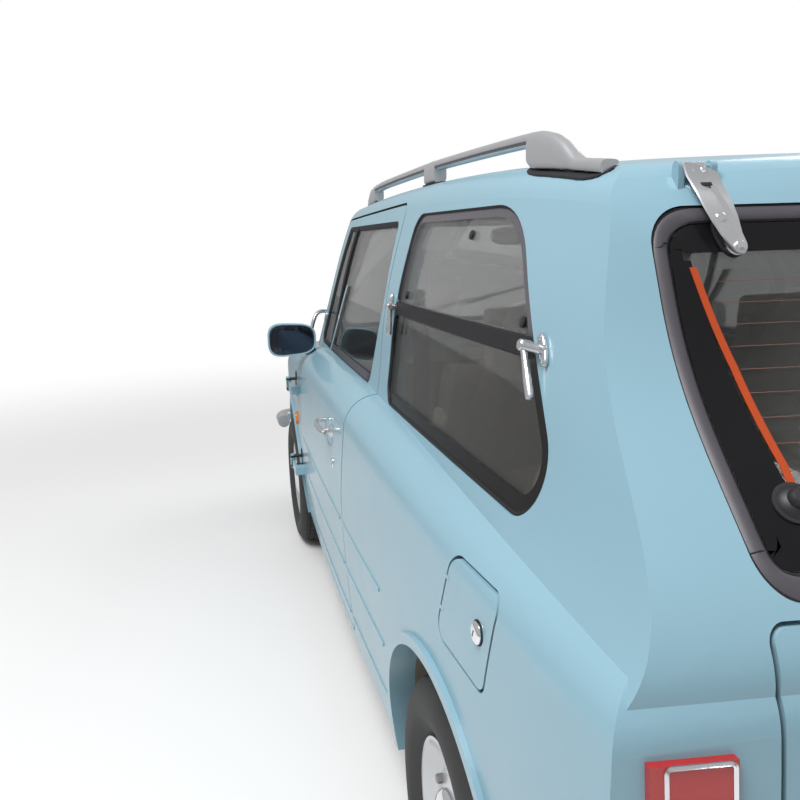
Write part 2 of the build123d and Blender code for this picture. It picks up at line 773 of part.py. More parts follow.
# Rear axle beam with trailing arms, dampers, brake drums and stubs
with BuildPart() as rear_axle:
    add(rod((-600, rear_axle_y, tyre_radius), (600, rear_axle_y, tyre_radius), 30))
    for hand in (1, -1):
        add(rod((hand * 590, rear_axle_y, tyre_radius),
                (hand * (track_rear / 2 + stub_reach - 2), rear_axle_y, tyre_radius), stub_radius))
        add(rod((hand * 600, rear_axle_y, tyre_radius), (hand * 624, rear_axle_y, tyre_radius), 98))
        add(rod((hand * arm_x, rear_axle_y, tyre_radius),
                (hand * arm_x, kick_y + floor_thickness + seat_gap, tyre_radius), 20))
        add(rod((hand * arm_x, rear_axle_y, tyre_radius),
                (hand * arm_x, rear_axle_y, boot_floor_z - seat_gap), 24))

# Fuel tank under the boot floor
with BuildPart() as fuel_tank:
    add(block((-340, 1240, 262), (220, 1560, boot_floor_z - seat_gap)))
    fillet(fuel_tank.edges().filter_by(Axis.Z), 60)

# Exhaust
pipe_z = floor_z - pipe_radius - seat_gap
with BuildPart() as exhaust:
    add(bent_tube(((pipe_x, -980, pipe_z), (pipe_x, 960, pipe_z), (silencer_x, 1215, pipe_z), (silencer_x, 1290, 325),
                   (silencer_x, 1600, 325), (silencer_x, 1655, 200), (silencer_x, 1790, 200)),
                  (120, 50, 40, 40, 40), pipe_radius))
    add(rod((silencer_x, 1300, 325), (silencer_x, 1580, 325), boot_floor_z - seat_gap - 325))

# Tubular bumpers on brackets
with BuildPart() as front_bumper:
    add(bent_tube(((-bumper_half, -1620, bumper_z), (-bumper_half, bumper_front + 80, bumper_z),
                   (-540, bumper_front, bumper_z), (540, bumper_front, bumper_z),
                   (bumper_half, bumper_front + 80, bumper_z), (bumper_half, -1620, bumper_z)),
                  (70, 220, 220, 70), bumper_radius))
    for hand in (1, -1):
        add(block((hand * 380 - 20, bumper_front, bumper_z - 16), (hand * 380 + 20, nose_back_y - 60, bumper_z + 16)))
    add(skin, mode=Mode.SUBTRACT)
with BuildPart() as rear_bumper:
    add(bent_tube(((-bumper_half, 1620, bumper_z), (-bumper_half, -bumper_front - 80, bumper_z),
                   (-540, -bumper_front, bumper_z), (540, -bumper_front, bumper_z),
                   (bumper_half, -bumper_front - 80, bumper_z), (bumper_half, 1620, bumper_z)),
                  (70, 220, 220, 70), bumper_radius))
    for hand in (1, -1):
        add(block((hand * 380 - 20, 1700, bumper_z - 16), (hand * 380 + 20, -bumper_front, bumper_z + 16)))
    add(skin, mode=Mode.SUBTRACT)

# Roof rails
with BuildPart() as roof_rails:
    add(side_prism(rail_profile, rail_low_x, rail_high_x))
    fillet(roof_rails.faces().sort_by(Axis.X)[-1].edges().filter_by(lambda e: e.center().Z > 1345), rail_edge)
    fillet(roof_rails.faces().sort_by(Axis.X)[0].edges().filter_by(lambda e: e.center().Z > 1345), rail_edge)
    for window in rail_windows:
        add(side_prism(window, rail_low_x - 1, rail_high_x + 1), mode=Mode.SUBTRACT)
    add(skin, mode=Mode.SUBTRACT)
    mirror(about=Plane.YZ)

# Round headlamps: bezels in the pods and domed glasses
with BuildPart() as headlamp_bezels:
    add(rod((lamp_x, lamp_front_y - 6, lamp_z), (lamp_x, lamp_back_y + 60, lamp_z), lamp_radius - seat_gap, 78))
    mirror(about=Plane.YZ)
with BuildPart() as headlamp_glasses:
    add(rod((lamp_x, lamp_front_y + 4, lamp_z), (lamp_x, lamp_back_y + 60, lamp_z), 78 - seat_gap))
    mirror(about=Plane.YZ)

# Rounded tail lamps on the rear corners: three lenses each
with BuildPart() as tail_lamps:
    for low_z, high_z in ((560, 636), (640, 716), (720, 796)):
        add(flare_skin & block((598, 1600, low_z), (690, tail, high_z)))
    add(skin, mode=Mode.SUBTRACT)
    mirror(about=Plane.YZ)
# Side and front turn lamps
with BuildPart() as turn_lamps:
    add(flare_skin & rod((700, -872, 607), (far, -872, 607), 26))
    add(flare_skin & rod((525, nose, 495), (525, -1650, 495), 34))
    add(skin, mode=Mode.SUBTRACT)
    mirror(about=Plane.YZ)

# Door hinges outside the fender: lugs and pins on the body, eyes and arms on the door
with BuildPart() as door_hinges_left:
    for z in hinge_heights:
        add(block((750, hinge_y - 14, z + 15), (hinge_x + 9, hinge_y + 12, z + 22)))
        add(block((750, hinge_y - 14, z - 22), (hinge_x + 9, hinge_y + 12, z - 15)))
        add(rod((hinge_x, hinge_y, z - 22), (hinge_x, hinge_y, z + 22), 5))
    add(skin, mode=Mode.SUBTRACT)
with BuildPart() as door_hinges_right:
    mirror(door_hinges_left.part, about=Plane.YZ)
for z in hinge_heights:
    with BuildPart() as hinge_arm:
        add(block((hinge_x - 4, hinge_y, z - 14), (hinge_x + 6, -640, z + 14)))
        add(block((745, -682, z - 14), (hinge_x + 6, -640, z + 14)))
        add(rod((hinge_x, hinge_y, z - 14), (hinge_x, hinge_y, z + 14), 10))
        add(rod((hinge_x, hinge_y, z - 14), (hinge_x, hinge_y, z + 14), 5 + running), mode=Mode.SUBTRACT)
    door_left.part += hinge_arm.part
door_right.part = mirror(door_left.part, about=Plane.YZ)

# Door mirror, handle
with BuildPart() as door_mirror_left:
    add(block((745, -585, 900), (885, -505, 1018)))
    fillet(door_mirror_left.edges().filter_by(Axis.Y), 28)
    add(block((660, -560, 905), (760, -530, 925)))
    add(skin, mode=Mode.SUBTRACT)
with BuildPart() as door_mirror_right:
    mirror(door_mirror_left.part, about=Plane.YZ)
with BuildPart() as door_handle_left:
    add(block((800, 100, 800), (812, 250, 822)))
    add(block((740, 100, 803), (804, 118, 819)))
    add(block((740, 232, 803), (804, 250, 819)))
    add(skin, mode=Mode.SUBTRACT)
with BuildPart() as door_handle_right:
    mirror(door_handle_left.part, about=Plane.YZ)

# Tailgate hinges
for x in (-tail_hinge_x, tail_hinge_x):
    with BuildPart() as leaf:
        add(block((x - 20, 1735, 512), (x + 20, tail_hinge_y - 3, 548)))
        add(block((x - 20, tail_hinge_y - 13, 500), (x + 20, tail_hinge_y - 3, 548)))
        add(rod((x - 20, tail_hinge_y, tail_hinge_z), (x + 20, tail_hinge_y, tail_hinge_z), 9))
        add(rod((x - 20, tail_hinge_y, tail_hinge_z), (x + 20, tail_hinge_y, tail_hinge_z), 5 + running),
            mode=Mode.SUBTRACT)
    tailgate.part += leaf.part
    with BuildPart() as lugs:
        for near in (x - 34, x + 22):
            add(block((near, 1725, 466), (near + 12, tail_hinge_y + 9, 492)))
            add(block((near, tail_hinge_y - 9, 466), (near + 12, tail_hinge_y + 9, tail_hinge_z + 9)))
        add(rod((x - 34, tail_hinge_y, tail_hinge_z), (x + 34, tail_hinge_y, tail_hinge_z), 5))
    rear_panel.part += lugs.part

# Hatch hinges: lugs with pins on the roof, tongues over the glass
with BuildPart() as hatch_hinge_feet:
    for near in (strap_x - strap_half - hatch_lug_width - 8, strap_x + strap_half + 3):
        add(rod((near, hatch_hinge_y, hatch_hinge_z),
                (near + hatch_lug_width, hatch_hinge_y, hatch_hinge_z), hatch_lug))
        add(block((near, hatch_hinge_y - hatch_lug, hatch_hinge_z - 45),
                  (near + hatch_lug_width, hatch_hinge_y + hatch_lug, hatch_hinge_z)))
    add(rod((strap_x - strap_half - hatch_lug_width - 8, hatch_hinge_y, hatch_hinge_z),
            (strap_x + strap_half + hatch_lug_width + 3, hatch_hinge_y, hatch_hinge_z), hatch_pin))
    add(skin, mode=Mode.SUBTRACT)
    mirror(about=Plane.YZ)
with BuildPart() as hatch_straps:
    with BuildSketch(Plane.XZ.offset(-1460)):
        with BuildLine():
            FilletPolyline(*strap_outline, radius=[1, 1, 13, 13], close=True)
        make_face()
    extrude(amount=1460 - hatch_hinge_y + 1)
    add(flare_skin, mode=Mode.INTERSECT)
    add(bead_skin, mode=Mode.SUBTRACT)
    add(rod((strap_x - strap_half, hatch_hinge_y, hatch_hinge_z),
            (strap_x + strap_half, hatch_hinge_y, hatch_hinge_z), hatch_knuckle))
    add(rod((strap_x - strap_half - 6, hatch_hinge_y, hatch_hinge_z),
            (strap_x + strap_half + 6, hatch_hinge_y, hatch_hinge_z), hatch_pin + running), mode=Mode.SUBTRACT)
    add(bead_skin & block((409, 1380, 1282), (425, 1440, 1296)))
    add(glass_outer, mode=Mode.SUBTRACT)
    mirror(about=Plane.YZ)

# Bonnet hinges: pins across pockets in the cowl, goose-necked arms on the bonnet
for x in (-bonnet_hinge_x, bonnet_hinge_x):
    with BuildPart() as arm:
        with BuildSketch(Plane.YZ.offset(x - 8)):
            with BuildLine():
                Polyline(*[(bonnet_hinge_y + y, bonnet_hinge_z + z) for y, z in bonnet_arm], close=True)
            make_face()
        extrude(amount=16)
        add(rod((x - 8, bonnet_hinge_y, bonnet_hinge_z), (x + 8, bonnet_hinge_y, bonnet_hinge_z), 5.5))
        add(rod((x - 8, bonnet_hinge_y, bonnet_hinge_z), (x + 8, bonnet_hinge_y, bonnet_hinge_z), 3 + running),
            mode=Mode.SUBTRACT)
    bonnet.part += arm.part
    bulkhead.part -= block((x - bonnet_pocket_half, cowl_front_y - 1, 600),
                           (x + bonnet_pocket_half, bonnet_hinge_y + 14, bonnet_hinge_z + 7))
    bulkhead.part += rod((x - bonnet_pocket_half - 1, bonnet_hinge_y, bonnet_hinge_z),
                         (x + bonnet_pocket_half + 1, bonnet_hinge_y, bonnet_hinge_z), 3)

# Fuel flap hinge: two lugs with a pin on the body, let into the flap's front edge
flap_axis = (Vector(*flap_hinge_high) - Vector(*flap_hinge_low)).normalized()
pin_start = Vector(*flap_hinge_low) - flap_axis * 6
pin_end = Vector(*flap_hinge_high) + flap_axis * 6
for start, end in ((pin_start, Vector(*flap_hinge_low)), (Vector(*flap_hinge_high), pin_end)):
    middle = (start + end) / 2
    lug = rod(tuple(start), tuple(end), flap_lug)
    lug += block((middle.X - flap_lug, middle.Y - 18, middle.Z - 3), (middle.X + flap_lug, middle.Y, middle.Z + 3))
    side_panel_left.part += lug
    fuel_flap.part -= rod(tuple(start - flap_axis * 2.5), tuple(end + flap_axis * 2.5), flap_notch)
    fuel_flap.part -= block((middle.X - 7, middle.Y - 18, middle.Z - 6), (middle.X + 12, middle.Y, middle.Z + 6))
side_panel_left.part += rod(tuple(pin_start), tuple(pin_end), flap_pin)
fuel_flap.part -= rod(tuple(pin_start), tuple(pin_end), flap_pin + running)

# Seats, dashboard and steering wheel
seat_floor = floor_z + floor_thickness
with BuildPart() as seat_bases:
    for x in (-seat_x, seat_x):
        add(block((x - 190, -120, seat_floor + seat_gap), (x + 190, 260, seat_base_z)))
for name, x in (("left", seat_x), ("right", -seat_x)):
    with BuildPart() as cushion:
        add(block((x - 235, -190, seat_base_z + seat_gap), (x + 235, 300, seat_top_z)))
        fillet(cushion.edges().filter_by(Axis.Z), 60)
    with BuildPart() as backrest:
        with BuildSketch(Plane.YZ.offset(x - 215)):
            with BuildLine():
                FilletPolyline((190, seat_top_z + seat_gap), (400, seat_top_z + seat_gap), (540, 1010), (460, 1010),
                               close=True, radius=[5, 30, 30, 30])
            make_face()
        extrude(amount=430)
        with BuildSketch(Plane.YZ.offset(x - 110)):
            with BuildLine():
                FilletPolyline((465, 1000), (540, 1000), (580, 1150), (500, 1155), close=True, radius=20)
            make_face()
        extrude(amount=220)
    both = Part() + [cushion.part, backrest.part]
    both.label = f"seat_{name}"
    export_step(both, f"parts/seat_{name}.step")
with BuildPart() as rear_seat:
    add(block((-500, 650, boot_floor_z + floor_thickness + seat_gap), (500, 1060, 545)))
    add(block((-500, 560, 400), (500, 650, 545)))
    add(block((-500, 1070, boot_floor_z + floor_thickness + seat_gap), (500, 1170, 900)))
with BuildPart() as dashboard:
    add(inside & block((-far, bulkhead_y + bulkhead_thickness + seat_gap, 620), (far, -470, 860)))
    add(rod((-seat_x, -480, 790), (-seat_x, -330, 850), 24))
with BuildPart() as steering_wheel:
    with BuildSketch(Plane(origin=(-seat_x, -330, 850), z_dir=(0, 150, 60))):
        Circle(190)
        Circle(165, mode=Mode.SUBTRACT)
        Rectangle(340, 24)
        Circle(50)
    extrude(amount=22)

pieces = {
    "side_panel_left": side_panel_left, "side_panel_right": side_panel_right, "fuel_flap": fuel_flap,
    "roof_panel": roof_panel, "bulkhead": bulkhead, "rear_panel": rear_panel,
    "fender_left": fender_left, "fender_right": fender_right, "nose_panel": nose_panel,
    "bonnet": bonnet, "floor_pan": floor_pan, "door_left": door_left, "door_right": door_right,
    "door_glass_left": door_glass_left, "door_glass_right": door_glass_right,
    "windscreen": windscreen, "side_glass": side_glass, "side_window_bars": side_window_bars,
    "hatch_glass": hatch_glass, "tailgate": tailgate, "grille": grille,
    "knuckle_left": knuckle_left, "knuckle_right": knuckle_right, "front_subframe": front_subframe,
    "inner_wing_left": inner_wing_left, "inner_wing_right": inner_wing_right, "engine_block": engine_block,
    "radiator": radiator, "rear_axle": rear_axle, "fuel_tank": fuel_tank, "exhaust": exhaust,
    "front_bumper": front_bumper, "rear_bumper": rear_bumper, "roof_rails": roof_rails,
    "headlamp_bezels": headlamp_bezels, "headlamp_glasses": headlamp_glasses, "tail_lamps": tail_lamps,
    "turn_lamps": turn_lamps, "door_hinges_left": door_hinges_left, "door_hinges_right": door_hinges_right,
    "door_mirror_left": door_mirror_left, "door_mirror_right": door_mirror_right,
    "door_handle_left": door_handle_left, "door_handle_right": door_handle_right,
    "hatch_hinge_feet": hatch_hinge_feet, "hatch_straps": hatch_straps, "seat_bases": seat_bases,
    "rear_seat": rear_seat, "dashboard": dashboard, "steering_wheel": steering_wheel,
}
for name, piece in pieces.items():
    piece.part.label = name
    export_step(piece.part, f"parts/{name}.step")
for name, solid in wheels.items():
    solid.label = name
    export_step(solid, f"parts/{name}.step")
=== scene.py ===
import math

import bmesh
import bpy
from mathutils import Matrix, Vector
from mathutils.bvhtree import BVHTree


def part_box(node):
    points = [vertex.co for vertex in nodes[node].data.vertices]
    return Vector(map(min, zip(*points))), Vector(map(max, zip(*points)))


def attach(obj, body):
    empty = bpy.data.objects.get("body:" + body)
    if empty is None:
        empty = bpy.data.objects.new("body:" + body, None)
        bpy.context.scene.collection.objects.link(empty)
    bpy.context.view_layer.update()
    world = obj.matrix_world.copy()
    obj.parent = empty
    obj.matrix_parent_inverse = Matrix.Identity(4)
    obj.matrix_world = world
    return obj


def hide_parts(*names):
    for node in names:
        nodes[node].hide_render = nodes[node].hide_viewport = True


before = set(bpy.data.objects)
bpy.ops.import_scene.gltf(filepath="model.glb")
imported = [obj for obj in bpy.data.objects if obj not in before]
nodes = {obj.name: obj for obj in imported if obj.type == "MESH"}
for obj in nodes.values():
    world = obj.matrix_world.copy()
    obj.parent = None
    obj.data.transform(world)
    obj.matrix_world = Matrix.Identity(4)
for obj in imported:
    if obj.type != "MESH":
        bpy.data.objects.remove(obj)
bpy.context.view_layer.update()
scene = bpy.context.scene

# Camera solved on the photograph: angles in radians, eye in metres
IMAGE_WIDTH, SENSOR_WIDTH = 800, 36
FOCAL_PIXELS = 840.38
YAW, PITCH, ROLL = 0.2224, 0.1978, 0.0300
EYE = Vector((1.0786, 2.3835, 1.3170))


def add_camera():
    level = Vector((-math.sin(YAW), -math.cos(YAW), 0))
    level_right = Vector((-math.cos(YAW), math.sin(YAW), 0))
    up = Vector((0, 0, 1))
    forward = math.cos(PITCH) * level - math.sin(PITCH) * up
    level_down = -math.sin(PITCH) * level - math.cos(PITCH) * up
    right = math.cos(ROLL) * level_right + math.sin(ROLL) * level_down
    down = math.cos(ROLL) * level_down - math.sin(ROLL) * level_right
    data = bpy.data.cameras.new("camera")
    data.sensor_width = SENSOR_WIDTH
    data.lens = FOCAL_PIXELS / IMAGE_WIDTH * SENSOR_WIDTH
    data.clip_start = 0.02
    camera = bpy.data.objects.new("camera", data)
    scene.collection.objects.link(camera)
    turn = Matrix((right, -down, -forward)).transposed().to_4x4()
    camera.matrix_world = Matrix.Translation(EYE) @ turn
    scene.camera = camera


add_camera()


# Shader nodes
def feed(tree, socket, value):
    """Link a node's output to a socket, or set a plain value on it."""
    if isinstance(value, bpy.types.NodeSocket):
        tree.links.new(value, socket)
    else:
        socket.default_value = value


def operation(tree, kind, name, *values):
    node = tree.nodes.new(kind)
    node.operation = name
    for socket, value in zip(node.inputs, values):
        feed(tree, socket, value)
    return node


def number(tree, name, *values):
    return operation(tree, "ShaderNodeMath", name, *values).outputs["Value"]


def mix_colours(tree, factor, first, second):
    node = tree.nodes.new("ShaderNodeMix")
    node.data_type = "RGBA"
    for name, value in (("Factor", factor), ("A", first), ("B", second)):
        feed(tree, node.inputs[name], value)
    return node.outputs["Result"]


def noise(tree, coordinates, scale, detail=2):
    node = tree.nodes.new("ShaderNodeTexNoise")
    node.inputs["Scale"].default_value = scale
    node.inputs["Detail"].default_value = detail
    tree.links.new(coordinates, node.inputs["Vector"])
    return node.outputs["Fac"]


def map_range(tree, value, low, high, start=0.0, end=1.0):
    node = tree.nodes.new("ShaderNodeMapRange")
    for name, limit in (("From Min", start), ("From Max", end), ("To Min", low), ("To Max", high)):
        node.inputs[name].default_value = limit
    tree.links.new(value, node.inputs["Value"])
    return node


def place_parts(tree):
    """The shaded point's place and its three coordinates."""
    geometry = tree.nodes.new("ShaderNodeNewGeometry")
    parts = tree.nodes.new("ShaderNodeSeparateXYZ")
    tree.links.new(geometry.outputs["Position"], parts.inputs["Vector"])
    return geometry, parts


# Materials
COAT_ROUGHNESS = 0.04
BUMP_DEPTH = 0.001


def material(name, color, rough=0.5, metal=0.0, coat=0.0, vary=0.03, scale=6.0, bump=0.0, bump_scale=300.0,
             rough_vary=0.05, transmission=0.0, sheen=0.0, alpha=1.0, inner=None, specular=0.5):
    """Principled material with noise in its colour and roughness and a fine bump."""
    made = bpy.data.materials.new(name)
    made.use_nodes = True
    tree = made.node_tree
    shader = tree.nodes["Principled BSDF"]
    for socket, value in (("Metallic", metal), ("Coat Weight", coat), ("Coat Roughness", COAT_ROUGHNESS),
                          ("Transmission Weight", transmission), ("Sheen Weight", sheen),
                          ("Specular IOR Level", specular), ("Alpha", alpha)):
        shader.inputs[socket].default_value = value
    place = tree.nodes.new("ShaderNodeTexCoord").outputs["Object"]
    darker = (*[c * (1 - vary) for c in color], 1)
    lighter = (*[min(1, c * (1 + vary)) for c in color], 1)
    colour = mix_colours(tree, noise(tree, place, scale, detail=5), darker, lighter)
    if inner:
        colour = inner_side(tree, colour, *inner)
    tree.links.new(colour, shader.inputs["Base Color"])
    grain = noise(tree, place, scale * 4)
    worn = map_range(tree, grain, max(0.0, rough - rough_vary), min(1.0, rough + rough_vary))
    tree.links.new(worn.outputs["Result"], shader.inputs["Roughness"])
    if bump:
        relief = tree.nodes.new("ShaderNodeBump")
        relief.inputs["Strength"].default_value = bump
        relief.inputs["Distance"].default_value = BUMP_DEPTH
        tree.links.new(noise(tree, place, bump_scale, detail=3), relief.inputs["Height"])
        tree.links.new(relief.outputs["Normal"], shader.inputs["Normal"])
    return made


CABIN_MIDDLE, CABIN_SHAPE, FACING_IN = (0, 0.4, 0.8), (1, 0.35, 1), -0.12


def inner_side(tree, outer_colour, trim, reach, floor_height):
    """Trim colour on the faces that look into the cabin, above a height and away from the outer skin."""
    geometry, parts = place_parts(tree)
    vector = "ShaderNodeVectorMath"
    away = operation(tree, vector, "SUBTRACT", geometry.outputs["Position"], CABIN_MIDDLE)
    shaped = operation(tree, vector, "MULTIPLY", away.outputs["Vector"], CABIN_SHAPE)
    facing = operation(tree, vector, "DOT_PRODUCT", shaped.outputs["Vector"], geometry.outputs["True Normal"])
    inwards = number(tree, "LESS_THAN", facing.outputs["Value"], FACING_IN)
    near = number(tree, "LESS_THAN", number(tree, "ABSOLUTE", parts.outputs["X"]), reach)
    above = number(tree, "GREATER_THAN", parts.outputs["Z"], floor_height)
    inside = number(tree, "MULTIPLY", number(tree, "MULTIPLY", inwards, near), above)
    return mix_colours(tree, inside, outer_colour, (*trim, 1))


def shade_below(look, height, shade):
    """A darker colour on everything under a height."""
    tree = look.node_tree
    socket = tree.nodes["Principled BSDF"].inputs["Base Color"]
    upper = socket.links[0].from_socket
    _, parts = place_parts(tree)
    under = number(tree, "LESS_THAN", parts.outputs["Z"], height)
    tree.links.new(mix_colours(tree, under, upper, (*shade, 1)), socket)


PAINT = (0.215, 0.365, 0.440)
TRIM = (0.20, 0.18, 0.14)
TRIM_REACH, TRIM_FLOOR = 0.742, 0.66
PANE_JOINT, LOWER_SHADE = 1.147, (0.055, 0.055, 0.052)


def body_paint(name, inner=None):
    return material(name, PAINT, rough=0.34, coat=0.35, vary=0.02, scale=2.2, bump=0.03, bump_scale=260,
                    inner=inner, specular=0.35)


def clear(name, color, rough=0.0, alpha=1.0):
    return material(name, color, rough=rough, transmission=1.0, vary=0.005, rough_vary=0.0, alpha=alpha)


def lens(name, color):
    return material(name, color, rough=0.12, coat=0.8, vary=0.06, scale=60, transmission=0.35)


paint = body_paint("paint")
paint_in = body_paint("paint_trimmed", (TRIM, TRIM_REACH, 0.0))
paint_side = body_paint("paint_side", (TRIM, TRIM_REACH, TRIM_FLOOR))
glass = clear("glass", (0.26, 0.27, 0.27), alpha=0.62)
side_look = clear("side_glass_look", (0.44, 0.45, 0.46), alpha=0.60)
shade_below(side_look, PANE_JOINT, LOWER_SHADE)
silver = material("silver", (0.60, 0.61, 0.63), rough=0.34, metal=0.85, vary=0.04, scale=20, bump=0.05,
                  bump_scale=500)
chrome = material("chrome", (0.80, 0.80, 0.82), rough=0.12, metal=1.0, vary=0.03, scale=30)
rubber = material("rubber", (0.012, 0.012, 0.014), rough=0.6, vary=0.2, scale=40, bump=0.15, bump_scale=900,
                  specular=0.3)
seal_grey = material("seal_grey", (0.060, 0.055, 0.066), rough=0.45, vary=0.12, scale=30, bump=0.12,
                     bump_scale=700)
tyre_mat = material("tyre", (0.025, 0.025, 0.026), rough=0.72, vary=0.25, scale=18, bump=0.35, bump_scale=500)
rim_mat = material("rim_paint", (0.55, 0.56, 0.57), rough=0.32, metal=0.7, coat=0.4, vary=0.04, scale=14)
dark_metal = material("dark_metal", (0.035, 0.035, 0.037), rough=0.55, metal=0.4, vary=0.25, scale=25,
                      bump=0.2)
steel = material("steel", (0.35, 0.34, 0.33), rough=0.42, metal=0.9, vary=0.15, scale=22, bump=0.1)
plastic = material("dark_plastic", (0.014, 0.014, 0.016), rough=0.48, vary=0.15, scale=30, bump=0.2,
                   bump_scale=1500)
trim_mat = material("trim_plastic", TRIM, rough=0.6, vary=0.05, scale=12, bump=0.25, bump_scale=900)
cloth = material("seat_cloth", (0.36, 0.33, 0.25), rough=0.9, sheen=0.4, vary=0.08, scale=14, bump=0.6,
                 bump_scale=700)
trim_light = material("trim_light", (0.56, 0.52, 0.42), rough=0.55, vary=0.05, scale=14, bump=0.2,
                      bump_scale=900)
frit_black = material("frit_black", (0.006, 0.006, 0.007), rough=0.25, vary=0.15, scale=30, specular=0.22)
frit_grey = material("frit_grey", (0.075, 0.070, 0.083), rough=0.2, vary=0.10, scale=30, specular=0.4)
orange = material("orange_terminal", (0.38, 0.045, 0.003), rough=0.4, vary=0.08, scale=60, bump=0.1)
heater_brown = material("heater_brown", (0.13, 0.060, 0.045), rough=0.4, vary=0.1, scale=60)
cast_silver = material("cast_silver", (0.56, 0.57, 0.59), rough=0.28, metal=0.9, vary=0.06, scale=26,
                       bump=0.12, bump_scale=650)
mirror_look = material("mirror_look", (0.060, 0.070, 0.095), rough=0.03, metal=1.0, vary=0.02, scale=8)
plate_white = material("plate_white", (0.80, 0.80, 0.78), rough=0.35, coat=0.3, vary=0.02, scale=12)
lamp_clear = clear("lamp_clear", (0.95, 0.95, 0.95), rough=0.02)
lamp_red = lens("lamp_red", (0.55, 0.02, 0.02))
lamp_amber = lens("lamp_amber", (0.90, 0.30, 0.02))

# The slot name kept on a look's pieces, where they name no other
SLOTS = {look: slot for slot, looks in (
    ("body_paint", (paint,)), ("black_rubber", (rubber, seal_grey)), ("dark_plastic", (plastic,)),
    ("trim_plastic", (trim_light, plate_white)), ("bright_metal", (chrome, mirror_look)),
    ("window_glass", (frit_black, frit_grey, orange, heater_brown)), ("silver_metal", (silver, cast_silver)),
    ("steel", (steel,)), ("tyre_rubber", (tyre_mat,)), ("lamp_glass", (lamp_clear,))) for look in looks}

# What the CAD nodes wear; the rest of the body is plain paint
LOOKS = [
    (glass, ("windscreen", "door_glass_left", "door_glass_right", "hatch_glass")),
    (side_look, ("side_glass",)),
    (rubber, ("side_window_bars",)),
    (chrome, ("headlamp_bezels", "hatch_straps")),
    (lamp_clear, ("headlamp_glasses",)),
    (lamp_red, ("tail_lamps",)),
    (lamp_amber, ("turn_lamps",)),
    (silver, ("front_bumper", "rear_bumper", "roof_rails", "door_handle_left", "door_handle_right",
              "grille")),
    (dark_metal, ("front_subframe", "engine_block", "radiator", "rear_axle", "fuel_tank", "knuckle_left",
                  "knuckle_right")),
    (steel, ("exhaust",)),
    (cloth, ("seat_left", "seat_right", "rear_seat")),
    # The door hinges are body colour on the car; their dark plastic is painted shade of the recesses they sit
    # in
    (plastic, ("seat_bases", "steering_wheel", "door_hinges_left", "door_hinges_right")),
    (trim_mat, ("dashboard", "floor_pan")),
    (paint_side, ("side_panel_left", "side_panel_right", "rear_panel")),
    (paint_in, ("roof_panel", "door_left", "door_right", "tailgate")),
]


def dress_nodes():
    look_of = {name: look for look, names in LOOKS for name in names}
    for name, node in nodes.items():
        look = look_of.get(name, paint)
        if name.startswith("tyre"):
            look = tyre_mat
        if name.startswith("wheel_"):
            look = rim_mat
        node.data.materials.clear()
        node.data.materials.append(look)


dress_nodes()


# Modelling helpers: profiles and outlines in mm, points in metres
def mm(*values):
    return Vector(values) * 0.001


def rounded(value, power):
    """A sine or cosine squared up towards a rounded rectangle."""
    return math.copysign(abs(value) ** power, value)


def rectangle(near, far, low, high):
    """Four corners, as an outline or as the cut of a flat strip."""
    return [(near, low), (far, low), (far, high), (near, high)]


def turn_steps(count):
    return [(math.cos(2 * math.pi * k / count), math.sin(2 * math.pi * k / count)) for k in range(count)]


MIN_RADIUS = 0.05


